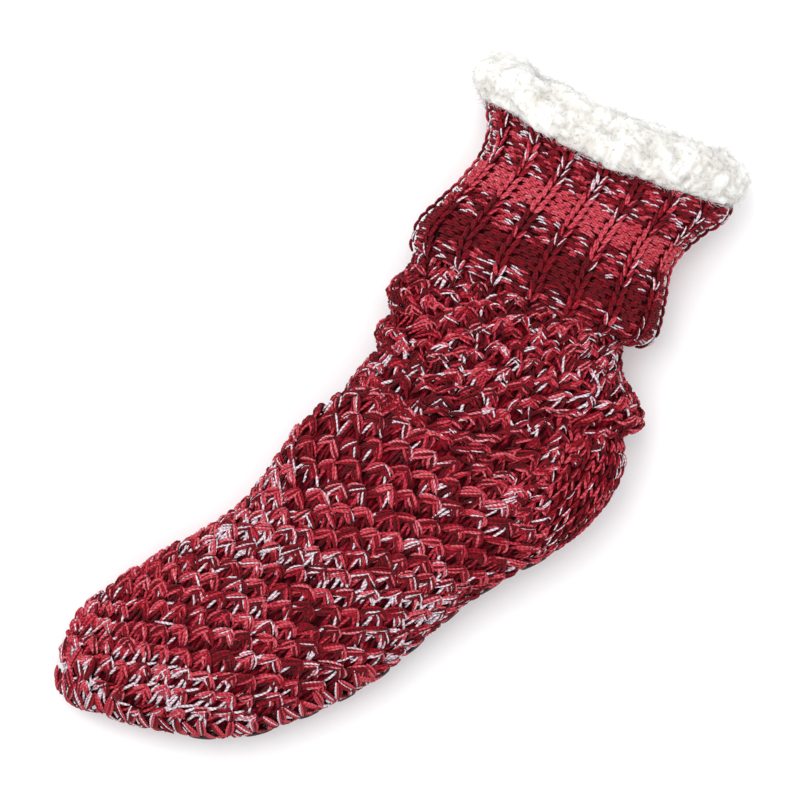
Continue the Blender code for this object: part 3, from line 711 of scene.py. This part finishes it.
def raised_loops():
    """Plies of the raised hook-shaped loops, and of the fans of yarn that fall away in their shade."""
    n = len(SITES.course)
    in_leg = smooth_step((SITES.course - 32.0) / 5.0)
    jitter = rng.normal(0.0, 1.0, (n, JITTERS))
    sites = SITES.moved(jitter[:, 6] * (0.13 + 0.06 * in_leg), jitter[:, 7] * (0.036 + 0.020 * in_leg))
    tones = loop_tones(SITES.course, SITES.wale)
    loops = hook_arm(-1.0, sites, jitter[:, 0:3], in_leg, tones)
    swap = rng.random(n) < 0.3
    loops += hook_arm(1.0, sites, jitter[:, 3:6], in_leg, np.where(swap[:, None], tones[:, ::-1], tones))
    t = np.linspace(0.0, 1.0, FAN_POINTS)[None, :]
    leg = in_leg[:, None]
    radius = FAN_PLY * (0.55 + 0.55 * np.sin(math.pi * np.clip(0.1 + 0.8 * t, 0, 1)))
    fans = []
    for k in range(FAN_PLIES):
        aside = k - 0.5 * (FAN_PLIES - 1)
        lean = np.radians(aside * FAN_ANGLE + 3.0 + rng.normal(0.0, 11.0, (n, 1)) * (1 + 1.2 * leg))
        reach = FAN_LENGTH * (1 + 0.14 * rng.normal(0.0, 1.0, (n, 1))) * (1 - 0.15 * leg)
        x = aside * FAN_SPACING + np.sin(lean) * reach * t
        y = (-0.6 - 0.5 * abs(aside)) * MM - np.cos(lean) * reach * t
        height = -0.35 * MM - 0.08 * MM * abs(aside) + 0.60 * MM * np.sin(math.pi * t) - 0.80 * MM * t
        height = height + 0.22 * MM * rng.normal(0.0, 1.0, (n, 1))
        points, normals = sites.at(x, y, height)
        fans.append((points, normals, radius, under_tones(SITES.course, SITES.wale)[:, None]))
    return loops, fans


def slack_loops():
    """Plies of the lower loops: inside the raised ones on the foot, between them and jumbled on the leg."""
    course, wale = SITES.course, SITES.wale
    in_leg = smooth_step((course - LEG_COURSE) / 4.0)
    jitter = rng.normal(0.0, 1.0, (len(course), JITTERS))
    between = (in_leg > 0.5) & (course > LEG_COURSE)
    down = -np.where(between, 0.30, 1.9 * MM / SITES.row_size) + jitter[:, 6] * (0.08 + 0.22 * between)
    aside = np.where(between, 0.5, -0.5 * MM / SITES.wale_size) + jitter[:, 7] * (0.02 + 0.06 * between)
    lower = SITES.moved(down, aside)
    lift, scale = -0.70 * MM + 0.42 * MM * between[:, None], np.where(between, 0.92, 0.80)
    plies = []
    for side in (-1.0, 1.0):
        tones = np.stack([under_tones(course, wale) for _ in range(3)], axis=1)
        plies += hook_arm(side, lower, jitter[:, 0:3], in_leg, tones, lift, SLACK_POINTS, scale)
    leg = course > LEG_COURSE
    jumbled = SITES.moved(0.5 + 0.3 * jitter[leg, 0], 0.27 + 0.09 * jitter[leg, 1], leg)
    for side in (-1.0, 1.0):
        tones = loop_tones(course[leg], wale[leg])[:, (0, 2)]
        plies += hook_arm(side, jumbled, 2.2 * jitter[leg, 3:6], in_leg[leg], tones, -0.10 * MM,
                          SLACK_POINTS, 0.78)
    return plies


def v_stitches(centre, across, along_, normal, width, pitch, tones, ply, plies=2):
    """V stitches: two arms of plies each, apex behind, opening along the wale."""
    n = len(centre)
    t = np.linspace(0.0, 1.0, 5)[None, :]
    result = []
    for side in (-1.0, 1.0):
        for k in range(plies):
            apart = (k - 0.5 * (plies - 1)) * 1.5 * ply * (0.55 + 0.45 * np.sin(math.pi * t))
            x = side * (0.10 + 0.30 * t ** 0.85) * width + side * apart * 0.9
            y = (-0.55 + 1.20 * t) * pitch + rng.normal(0.0, 0.05, (n, 1)) * pitch - apart * 0.45
            height = 0.95 * MM * np.sin(math.pi * (0.10 + 0.80 * t)) - 0.45 * MM * t - 0.10 * MM * abs(k - 1)
            height = height + rng.normal(0.0, 0.08 * MM, (n, 1))
            path = (centre[:, None] + across[:, None] * x[..., None] + along_[:, None] * y[..., None]
                    + normal[:, None] * height[..., None])
            tone = tones[:, (k + (side > 0)) % tones.shape[1]]
            radius = ply * (0.50 + 0.58 * np.sin(math.pi * (0.08 + 0.84 * t)))
            radius = radius * (1.0 - 0.26 * (tone > LOOKS_WHITE))[:, None]
            result.append((path, np.broadcast_to(normal[:, None], path.shape), radius, tone[:, None]))
    return result


def stitches_on_foot(s, c, ds, dc, width, pitch, tones, ply, plies=2):
    """V stitches at stations s and distances c from the sole edge, their wales running along (ds, dc)."""
    centre, normal = edge_at(s, c)
    along_ = unit(edge_at(s + ds * MM, c + dc * MM)[0] - centre)
    across = unit(np.cross(along_, normal))
    return v_stitches(centre, across, along_, normal, width, pitch, tones, ply, plies)


def marl(n, plies, white, rose):
    """Tones of marled yarn with these shares of white, and of rose in the rest."""
    draw = rng.random((n, plies))
    dark = np.where(rng.random((n, plies)) < 0.5, RED, DEEP)
    tones = np.where(draw < white, WHITE, np.where(draw < white + (1 - white) * rose, ROSE, dark))
    return np.clip(tones + rng.normal(0.0, TONE_SPREAD, (n, plies)), 0.0, 1.0)


HEEL_PITCH, HEEL_ROW, HEEL_PLY = 4.6 * MM, 4.0 * MM, 0.43 * MM
HEEL_HALF = 0.062
# Outline, stations, slant of the lines off the edge, turn of the wales, and shares of white and rose
HEEL_FIELDS = (
    (HEEL_SOLE, (0.125, 0.262), 0.30, 0.30, 0.07, 0.42),
    (HEEL_BACK, (0.165, 0.300), -0.15, 0.0, 0.09, 0.34),
)


def heel_stitches():
    """Plain stitches of the heel: under the gusset line wales run forward, above it up the leg."""
    plies = []
    for outline, s_range, slant, turn, white, rose in HEEL_FIELDS:
        s, c = np.meshgrid(np.arange(*s_range, HEEL_ROW), np.arange(-HEEL_HALF, HEEL_HALF, HEEL_PITCH),
                           indexing="ij")
        s, c = s.ravel(), c.ravel() + 0.5 * HEEL_PITCH
        s = s + slant * np.abs(c)
        tones = marl(len(s), 3, white, rose)
        keep = inside(photo_of(edge_at(s, c)[0]), outline)
        plies += stitches_on_foot(s[keep], c[keep], 1.0, turn * np.sign(c[keep]), HEEL_PITCH * 1.15, HEEL_ROW,
                                  tones[keep], HEEL_PLY)
    return plies


TOE_PITCH, TOE_PLY = 7.6 * MM, 0.60 * MM
TOE_ROWS = (TOE_BAND_END, TOE_BAND_END, 0.014, 0.014)


def toe_stitches():
    """Rows of larger stitches along the toe's sole edge, opening away from the edge on both faces."""
    plies = []
    for side in (-1.0, 1.0):
        for row, end in enumerate(TOE_ROWS):
            s = np.arange(1.5 * MM + 0.5 * (row % 2) * TOE_PITCH, end, TOE_PITCH)
            s = s + rng.normal(0.0, 0.5 * MM, len(s))
            c = side * (3.0 * MM + row * TOE_PITCH) + rng.normal(0.0, 0.4 * MM, len(s))
            tones = marl(len(s), 4, 0.10, 0.65)
            tones[:, 1] = np.where(rng.random(len(s)) < 0.35, WHITE, tones[:, 1])
            tones[:, 3] = np.where(rng.random(len(s)) < 0.5, DEEP, RED)
            turn = 0.10 * rng.normal(0.0, 1.0, len(s))
            plies += stitches_on_foot(s, c, turn, side, TOE_PITCH * 1.25, TOE_PITCH * 1.05, tones, TOE_PLY, 4)
    return plies


CUFF_STEP = 0.0011
CUFF_COURSES, CUFF_ROWS = 16, 16.4
CUFF_PITCH = 1.0 / CUFF_ROWS
CUFF_PLY, RIB_WIDTH, RIB_LIFT = 0.56 * MM, 5.6 * MM, 0.55 * MM
ROSE_BAND, RED_BAND = (0.49, 0.68), (0.14, 0.31)
CUFF_STATIONS = np.arange(LIP - LIP_ROLL, RIM + 0.5 * CUFF_STEP, CUFF_STEP)
CUFF_SKIN = Skin(nudged(np.array([knit_ring(CUFF, s, max(s, LIP))[0] for s in CUFF_STATIONS]), CUFF_NUDGES))


def cuff_at(share, column, lift):
    """Point over the cuff, share from its lower edge to the rim; the edge rolls under."""
    s = LIP - LIP_ROLL + share * (CUFF_LENGTH + LIP_ROLL)
    rolled = -2.6 * MM * smooth_step((0.03 - share) / 0.05)
    return CUFF_SKIN.at((s - CUFF_STATIONS[0]) / CUFF_STEP, column, lift + rolled)


def cuff_tones(share, plies, white):
    """Yarn of the cuff by courses: marled, plain rose, marled, plain red, marled to the turned edge."""
    tones = marl(len(share), plies, white, 0.30)
    wobble = share + rng.normal(0.0, 0.010, len(share))
    for (low, high), tone in ((ROSE_BAND, 0.63), (RED_BAND, 0.14)):
        band = (wobble > low) & (wobble < high)
        tones[band] = tone + rng.normal(0.0, TONE_SPREAD, (int(band.sum()), plies))
    return np.clip(tones, 0.0, 1.0)


def rib_stitches():
    """Columns of V stitches down each rib."""
    course, rib = (grid.ravel() for grid in np.indices((CUFF_COURSES + 1, RIB_COUNT)))
    share = (course + 0.35) / CUFF_ROWS
    column = rib / RIB_COUNT + rng.normal(0.0, 0.0006, len(rib))
    lift = np.full(len(rib), RIB_LIFT)
    centre, normal = cuff_at(share, column, lift)
    along_ = unit(cuff_at(share + 0.02, column, lift)[0] - cuff_at(share - 0.02, column, lift)[0])
    tones = cuff_tones(share, 3, 0.14)
    return v_stitches(centre, np.cross(along_, normal), along_, normal, RIB_WIDTH,
                      (CUFF_LENGTH + LIP_ROLL) / CUFF_ROWS, tones, CUFF_PLY)


BUMPS, BUMP_SPACING, BUMP_HALF = 5, 0.245, 0.150


def purl_bands():
    """The low bands between the ribs: every course shows as two rows of small side by side bumps."""
    counts = (CUFF_COURSES + 1, RIB_COUNT, BUMPS)
    course, rib, place = (grid.ravel().astype(float) for grid in np.indices(counts))
    n = len(course)
    upper = place > 1.5
    across = np.where(upper, place - 3.0, place - 0.5) * BUMP_SPACING + rng.normal(0.0, 0.012, n)
    middle = (course + np.where(upper, 0.72, 0.24)) * CUFF_PITCH + rng.normal(0.0, 0.05 * CUFF_PITCH, n)
    t = np.linspace(-1.0, 1.0, 5)[None, :]
    tones = cuff_tones(middle, 2, 0.17)
    length = BUMP_HALF * (1 + rng.normal(0.0, 0.10, n))[:, None]
    slant = rng.normal(0.0, 0.06, n)[:, None]
    column = (rib[:, None] + 0.5 + across[:, None] + length * t) / RIB_COUNT
    plies = []
    for k in range(2):
        share = middle[:, None] + CUFF_PITCH * ((k - 0.5) * 0.25 - 0.07 * t ** 2 + slant * t)
        height = -1.15 * MM + 1.15 * MM * (1 - t ** 2) + rng.normal(0.0, 0.10 * MM, (n, 1))
        points, normals = cuff_at(share, column, height)
        white = tones[:, k] > LOOKS_WHITE
        radius = CUFF_PLY * (1.0 - 0.35 * t ** 2) * (1.0 - 0.30 * white)[:, None]
        plies.append((points, normals, radius, tones[:, k][:, None]))
    return plies


FABRIC_DEPTH, BAND_FABRIC_DEPTH, RIB_FABRIC_RISE = 1.9 * MM, 1.85 * MM, 0.75 * MM
CUFF_FABRIC_ROWS, CUFF_FABRIC_COLUMNS = 26, 192


def inner_fabric():
    """The inside of the stitches, dark with painted shade: a close fabric under the loops of the foot, leg
    and cuff.
    """
    foot = FOOT_SKIN.points - FOOT_SKIN.normals * FABRIC_DEPTH
    tip = np.broadcast_to(foot[:1].mean(axis=1, keepdims=True), foot[:1].shape)
    foot = np.concatenate((tip, foot[::4], foot[-1:]))[:, ::3]
    columns = np.arange(CUFF_FABRIC_COLUMNS) / CUFF_FABRIC_COLUMNS
    from_rib = np.mod(columns * RIB_COUNT + 0.5, 1.0) - 0.5
    depth = RIB_FABRIC_RISE * np.exp(-((from_rib / 0.16) ** 4)) - BAND_FABRIC_DEPTH
    cuff = [cuff_at(np.full(CUFF_FABRIC_COLUMNS, share), columns, depth)[0]
            for share in np.linspace(0.0, 1.0, CUFF_FABRIC_ROWS)]
    return join_arrays([grid_mesh(foot), grid_mesh(np.array(cuff))])


COLLAR_ROWS, COLLAR_COLUMNS = 96, 400
# Height kept over the floor by the pile, and by its tuck over the cuff's floor height
PILE_GAP, TUCK_GAP = 0.2 * MM, 0.3 * MM
SAG_SIZE, LUMP_SIZE, TUFT_SIZE, LOCK_SIZE, FUZZ_SIZE = 15.0 * MM, 8.0 * MM, 5.2 * MM, 2.6 * MM, 1.3 * MM
# Photo px across, and mm of puff there along the collar's lower edge and its top edge
LOWER_EDGE = ((480, -1.8), (505, -2.6), (540, -1.4), (575, 1.6), (605, 2.6), (640, 0.4), (700, -1.6),
              (735, -2.0))
TOP_EDGE = ((475, 0.8), (500, 1.8), (525, 1.2), (545, -2.2), (562, 0.2), (740, 0.2))


def collar_surface():
    """The sherpa collar's skin, the rise and depth of its rows, and the painted shade of each spot of pile.
    """
    profile = np.array(COLLAR_PROFILE)
    steps = np.hypot(np.diff(profile[:, 0]) * COLLAR_RISE, np.diff(profile[:, 1]) * PILE_THICKNESS)
    run = np.concatenate(([0.0], np.cumsum(steps)))
    wanted = np.linspace(0.0, run[-1], COLLAR_ROWS)
    rises, depths = np.interp(wanted, run, profile[:, 0]), np.interp(wanted, run, profile[:, 1])
    angles = even_angles(CUFF, RIM, COLLAR_COLUMNS)
    grid = np.empty((COLLAR_ROWS, COLLAR_COLUMNS, 3))
    for i, (rise, depth) in enumerate(zip(rises, depths)):
        inset = KNIT_WALL + FIT_GAP + depth * PILE_THICKNESS if depth >= 0.0 else depth * PILE_PUFF
        if rise < 0.0:
            s = RIM + rise * COLLAR_TUCK
            points, _ = section_shape(CUFF, s, angles, max(inset, 0.0))
            points[:, 1] = np.maximum(points[:, 1], floor_height(s) + TUCK_GAP)
        else:
            s = RIM + rise * COLLAR_RISE
            points, normals = section_shape(CUFF, RIM, angles, max(inset, 0.0))
            curl = PILE_CURL * np.maximum(np.cos(angles), 0.0) ** 2 * math.sin(math.pi * min(rise, 1.0))
            points = points + normals * (max(-inset, 0.0) + curl)[:, None]
            points[:, 1] = np.maximum(points[:, 1], PILE_GAP)
        grid[i] = place_ring(s - rim_dip(s, angles), points)
    skin = Skin(grid)
    sag, lumps = noise3(grid, SAG_SIZE, 10) - 0.5, noise3(grid, LUMP_SIZE, 11) - 0.5
    tufts, locks, fuzz = curls(grid, TUFT_SIZE, 12), curls(grid, LOCK_SIZE, 13), curls(grid, FUZZ_SIZE, 14)
    puffed = MM * (4.2 * sag + 2.8 * lumps + 1.9 * tufts + 0.9 * locks + 0.2 * fuzz + 0.9)
    across = photo_of(grid)[..., 0]
    rise, depth = rises[:, None], depths[:, None]
    low = (1.0 - smooth_step((rise - 0.15) / 0.4)) * (depth < 0.5)
    high = smooth_step((rise - 0.45) / 0.35)
    puffed += MM * low * np.interp(across, *zip(*LOWER_EDGE))
    puffed += MM * high * np.interp(across, *zip(*TOP_EDGE))
    grid = grid + skin.normals * (puffed * smooth_step((rise + 0.02) / 0.10))[..., None]
    grid[..., 2] = np.maximum(grid[..., 2], PILE_GAP)
    # Painted shade: the pile's tone is lower, darker and warmer, in the creases between tufts and locks and
    # in low lumps.
    light = np.clip(0.30 + 0.9 * tufts + 0.6 * locks + 0.5 * lumps, 0.0, 1.0)
    return Skin(grid), rises, depths, light


WISPS, WISP_LENGTH, WISP_RADIUS, WISP_SEED = 8000, 3.4 * MM, 0.115 * MM, 41


def sherpa_wisps(skin, rises, depths):
    """Fine soft fibres of pile, leaning together in swirls all over the collar, with painted shade darker
    towards each root.
    """
    draw = np.random.default_rng(WISP_SEED)
    weight = smooth_step((rises + 0.03) / 0.06) + 0.25 * (depths > 0.5)
    weight /= weight.sum()
    row = draw.choice(COLLAR_ROWS, WISPS, p=weight) + draw.random(WISPS)
    root, normal = skin.at(row, draw.random(WISPS), np.full(WISPS, -0.3 * MM))
    swirl = np.stack([noise3(root + 0.1 * k, 3.6 * MM, 30 + k) - 0.5 for k in range(3)], axis=1)
    lean = 0.30 * draw.normal(0.0, 1.0, (WISPS, 3)) + 3.0 * swirl
    lean = unit(lean - normal * (lean * normal).sum(axis=1, keepdims=True))
    length = (WISP_LENGTH * (0.5 + draw.random(WISPS)))[:, None]
    rise = (0.35 + 0.65 * draw.random(WISPS) ** 2)[:, None]
    t = np.linspace(0.0, 1.0, 3)[None, :]
    path = (root[:, None] + normal[:, None] * (length * rise * np.sin(1.7 * t) * 0.7)[..., None]
            + lean[:, None] * (length * (0.35 * t + 0.50 * t ** 2))[..., None])
    radius = WISP_RADIUS * (0.75 + 0.6 * draw.random(WISPS))[:, None] * (1.0 - 0.75 * t ** 1.4)
    # Painted shade: each fibre's tone falls by 8% towards its root, down in the pile.
    tone = np.clip(1.0 + draw.normal(0.0, 0.03, WISPS), 0.0, 1.0)[:, None] * (0.92 + 0.08 * t)
    return tube_arrays(path, np.broadcast_to(normal[:, None], path.shape), radius, tone, sides=3)


# Rise and share of the radius of each ring of a dot, and its lift off the knit
DOT_RINGS = ((0.0, 0.99), (0.55, 1.0), (0.86, 0.90), (1.0, 0.62), (1.06, 0.30))
DOT_SIDES, DOT_ROWS = 28, 2
DOT_LIFT, DOT_DOME = 0.9, 1.5


def grip_pads():
    """Seventeen domed rubber dots along the sole edge, resting over the yarn."""
    parts = []
    first, last = along("foot", DOTS_FROM), along("foot", DOTS_TO)
    per_row = int((last - first) / DOT_PITCH) + 1
    turn = 2 * math.pi * np.arange(DOT_SIDES) / DOT_SIDES
    for row in range(DOT_ROWS):
        for i in range(per_row - row):
            s = last - (i + 0.5 * row) * DOT_PITCH
            below = DOT_FROM_EDGE + row * DOT_ROW_GAP
            ring = int(np.interp(s, STATIONS, RING_NUMBERS))
            ripple = 1.0 + 0.035 * np.sin(3 * turn + i) + 0.025 * np.sin(5 * turn + 2 * i + row)
            grid = []
            for rise, size in DOT_RINGS:
                radius = 0.5 * DOT_DIAMETER * size * ripple
                number = np.interp(s + radius * np.cos(turn), STATIONS, RING_NUMBERS)
                column = EDGE_SHARES[ring] + (below - radius * np.sin(turn)) / PERIMETERS[ring]
                lift = np.full(DOT_SIDES, (DOT_LIFT + DOT_DOME * rise) * MM)
                grid.append(FOOT_SKIN.at(number, column, lift)[0])
            grid = np.array(grid)[:, ::-1]
            top = np.broadcast_to(grid[-1:].mean(axis=1, keepdims=True), grid[-1:].shape)
            parts.append(grid_mesh(np.concatenate((grid, top)), start_cap=True))
    return join_arrays(parts)


def linear(colour):
    """Linear colour of sRGB 0 to 255."""
    c = np.array(colour) / 255.0
    low = c <= 0.04045
    return tuple(np.where(low, c / 12.92, ((c + 0.055) / 1.055) ** 2.4)) + (1.0,)


def node(tree, kind, **settings):
    made = tree.nodes.new(kind)
    for key, value in settings.items():
        setattr(made, key, value)
    return made


def maths(tree, operation, *inputs):
    made = node(tree, "ShaderNodeMath", operation=operation)
    for socket, value in zip(made.inputs, inputs):
        if isinstance(value, (int, float)):
            socket.default_value = value
        else:
            tree.links.new(value, socket)
    return made.outputs[0]


def new_material(name, roughness, **inputs):
    """A material, its nodes and its shader, with the shader's inputs set."""
    material = bpy.data.materials.new(name)
    material.use_nodes = True
    shader = material.node_tree.nodes["Principled BSDF"]
    shader.inputs["Roughness"].default_value = roughness
    for key, value in inputs.items():
        shader.inputs[key.replace("_", " ")].default_value = value
    return material, material.node_tree, shader


def value_of(tree, name):
    return node(tree, "ShaderNodeAttribute", attribute_type="GEOMETRY", attribute_name=name).outputs["Fac"]


def noise(tree, scale, detail, stretch=None, turn=0.0):
    """Noise over the object, stretched and turned about z where a stretch is given."""
    place = node(tree, "ShaderNodeTexCoord").outputs["Object"]
    if stretch:
        mapping = node(tree, "ShaderNodeMapping")
        mapping.inputs["Rotation"].default_value = (0.0, 0.0, turn)
        mapping.inputs["Scale"].default_value = stretch
        tree.links.new(place, mapping.inputs["Vector"])
        place = mapping.outputs["Vector"]
    made = node(tree, "ShaderNodeTexNoise")
    made.inputs["Scale"].default_value = scale
    made.inputs["Detail"].default_value = detail
    tree.links.new(place, made.inputs["Vector"])
    return made.outputs["Fac"]


def ramp(tree, factor, stops):
    made = node(tree, "ShaderNodeValToRGB")
    elements = made.color_ramp.elements
    while len(elements) < len(stops):
        elements.new(0.5)
    for element, (position, colour) in zip(elements, stops):
        element.position = position
        element.color = linear(colour)
    tree.links.new(factor, made.inputs["Fac"])
    return made.outputs["Color"]


def bump(tree, shader, height, strength, distance):
    made = node(tree, "ShaderNodeBump")
    made.inputs["Strength"].default_value = strength
    made.inputs["Distance"].default_value = distance
    tree.links.new(height, made.inputs["Height"])
    tree.links.new(made.outputs["Normal"], shader.inputs["Normal"])


TWISTS_PER_M = 3600.0
YARN_COLOURS = (
    (0.0, (84, 0, 12)), (0.25, (140, 0, 24)), (0.45, (184, 28, 50)), (0.60, (210, 70, 86)),
    (0.78, (228, 104, 114)), (0.88, (226, 178, 192)), (1.0, (242, 232, 240)))
# Painted shade: yarn deep between the loops, from near black through deep red to a shaded rose.
SHADE_COLOURS = ((0.34, (16, 0, 2)), (0.48, (64, 0, 9)), (0.60, (120, 8, 24)), (0.72, (170, 44, 60)))
# Sherpa tones: low tones are painted shade, a warm grey for the pile's creases and hollows; high tones are
# the pile's white.
SHERPA_COLOURS = (
    (0.0, (200, 189, 177)), (0.30, (215, 210, 202)), (0.60, (224, 222, 216)), (0.85, (228, 227, 222)),
    (1.0, (238, 238, 234)))
RUBBER_COLOUR = (26, 25, 28)


def yarn_material():
    """Two-ply twisted acrylic yarn, coloured by its tone value, with painted shade and highlight along the
    twist.
    """
    material, tree, shader = new_material(
        "marled_yarn", 0.85, Sheen_Weight=0.05, Sheen_Roughness=0.45, Sheen_Tint=(1.0, 0.60, 0.64, 1.0),
        Specular_IOR_Level=0.22)
    tone, run, turn = value_of(tree, "tone"), value_of(tree, "run"), value_of(tree, "turn")
    wander = maths(tree, "MULTIPLY", maths(tree, "SUBTRACT", noise(tree, 1200.0, 3.0), 0.5), 0.38)
    twist = maths(tree, "SINE", maths(tree, "ADD", maths(tree, "MULTIPLY", run, TWISTS_PER_M),
                                      maths(tree, "MULTIPLY", turn, 4 * math.pi)))
    marled = maths(tree, "ADD", wander, maths(tree, "MULTIPLY", twist, 0.045))
    colour = ramp(tree, maths(tree, "ADD", tone, marled), YARN_COLOURS)
    # Painted shade and highlight: the base colour is dimmed overall, darker in the twist grooves and lighter
    # on the ridges.
    shade = maths(tree, "ADD", 0.825, maths(tree, "MULTIPLY", twist, 0.16))
    shaded = node(tree, "ShaderNodeVectorMath", operation="SCALE")
    tree.links.new(colour, shaded.inputs[0])
    tree.links.new(shade, shaded.inputs["Scale"])
    tree.links.new(shaded.outputs[0], shader.inputs["Base Color"])
    fibres = noise(tree, 5200.0, 2.0)
    relief = maths(tree, "ADD", maths(tree, "MULTIPLY", twist, 0.7), maths(tree, "MULTIPLY", fibres, 0.9))
    bump(tree, shader, relief, 0.7, 0.18 * MM)
    return material


def shade_material():
    """The yarn seen deep between loops: short streaks of red and rose running down the foot, darkened to near
    black as painted shade.
    """
    material, tree, shader = new_material("shaded_yarn", 0.95, Specular_IOR_Level=0.1)
    streaks = noise(tree, 1.0, 3.0, (190.0, 700.0, 420.0), math.radians(12.0))
    tree.links.new(ramp(tree, streaks, SHADE_COLOURS), shader.inputs["Base Color"])
    bump(tree, shader, streaks, 1.0, 0.9 * MM)
    return material


def sherpa_material():
    """Soft white pile, with painted shade: darker and warmer in its creases and hollows."""
    material, tree, shader = new_material(
        "sherpa_pile", 0.95, Specular_IOR_Level=0.1, Subsurface_Weight=0.7,
        Subsurface_Radius=(1.0, 0.92, 0.82), Subsurface_Scale=2.5 * MM)
    wander = maths(tree, "MULTIPLY", maths(tree, "SUBTRACT", noise(tree, 700.0, 3.0), 0.5), 0.20)
    colour = ramp(tree, maths(tree, "ADD", value_of(tree, "tone"), wander), SHERPA_COLOURS)
    tree.links.new(colour, shader.inputs["Base Color"])
    bump(tree, shader, noise(tree, 2600.0, 3.0), 0.6, 0.5 * MM)
    return material


def rubber_material():
    """Soft matt black rubber."""
    material, tree, shader = new_material("grip_rubber", 0.5, Base_Color=linear(RUBBER_COLOUR))
    bump(tree, shader, noise(tree, 1600.0, 2.0), 0.35, 0.2 * MM)
    return material


YARN, SHADE, SHERPA, RUBBER = yarn_material(), shade_material(), sherpa_material(), rubber_material()


def add(name, arrays, material, stands_for=()):
    piece = mesh_piece(name, *arrays)
    piece.data.materials.append(material)
    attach(piece, "root")
    if stands_for:
        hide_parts(*stands_for)


# The raised loops are one piece for each stretch of courses, and the draws keep this order
STRETCHES = ((-9, 17), (17, 33), (33, 99))
loop_plies, fan_plies = raised_loops()
for number, (start, end) in enumerate(STRETCHES):
    stretch = (SITES.course >= start) & (SITES.course < end)
    add(f"waffle_loops_{number + 1}", yarn(loop_plies, stretch), YARN)
add("waffle_under_loops", yarn(fan_plies), YARN)
add("waffle_slack_loops", yarn(slack_loops()), YARN)
add("heel_stitches", yarn(heel_stitches()), YARN)
add("toe_stitches", yarn(toe_stitches()), YARN)
add("cuff_ribs", yarn(rib_stitches()), YARN)
add("cuff_bands", yarn(purl_bands()), YARN)
add("inner_fabric", inner_fabric(), SHADE, ("knit_upper",))

collar_skin, collar_rises, collar_depths, collar_painted_shade = collar_surface()
add("sherpa_base", grid_mesh(collar_skin.points, collar_painted_shade), SHERPA, ("sherpa_collar",))
add("sherpa_fibres", sherpa_wisps(collar_skin, collar_rises, collar_depths), SHERPA)
dots = [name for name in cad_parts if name.startswith("grip_dot")]
add("grip_pads", grip_pads(), RUBBER, dots)

# Pale floor, soft studio light and the photo's view
FLOOR_SIZE, FLOOR_DROP, FLOOR_WHITE = 6.0, 0.2 * MM, 0.97
WORLD_COLOUR, WORLD_STRENGTH = (0.98, 0.98, 1.0, 1.0), 0.78
# Light, its place by the photo's right, the photo's up and height in metres, its size and its power
LIGHTS = (("key", -0.34, 0.45, 1.25, 1.0, 12.0), ("fill", 0.5, -0.3, 1.3, 1.2, 4.5))
LIT_POINT = np.array((0.0, 0.0, 0.02))
SENSOR_MM = 36.0

bpy.ops.mesh.primitive_plane_add(size=FLOOR_SIZE, location=(0.0, 0.0, -FLOOR_DROP))
floor = bpy.context.object
floor.name = "studio_floor"
floor.data.materials.append(new_material("studio_floor", 0.9, Base_Color=(FLOOR_WHITE,) * 3 + (1.0,))[0])

scene = bpy.context.scene
scene.world = bpy.data.worlds.new("studio")
scene.world.use_nodes = True
background = scene.world.node_tree.nodes["Background"]
background.inputs["Color"].default_value = WORLD_COLOUR
background.inputs["Strength"].default_value = WORLD_STRENGTH
scene.view_settings.view_transform = "Standard"

for name, right, up, height, size, power in LIGHTS:
    light = bpy.data.lights.new(name, "AREA")
    light.energy, light.size = power, size
    lamp = bpy.data.objects.new(name, light)
    lamp.location = (*turned(right, up), height)
    lamp.rotation_mode = "QUATERNION"
    lamp.rotation_quaternion = mathutils.Vector(LIT_POINT - lamp.location).to_track_quat("-Z", "Y")
    scene.collection.objects.link(lamp)

camera_data = bpy.data.cameras.new("camera")
camera_data.sensor_width = SENSOR_MM
camera_data.lens = SENSOR_MM * (CAMERA_PLACE[2] - MID_Z) / PHOTO_WIDTH
camera = bpy.data.objects.new("camera", camera_data)
camera.location = CAMERA_PLACE
camera.rotation_euler = (0.0, 0.0, -PHOTO_ROLL)
scene.collection.objects.link(camera)
scene.camera = camera
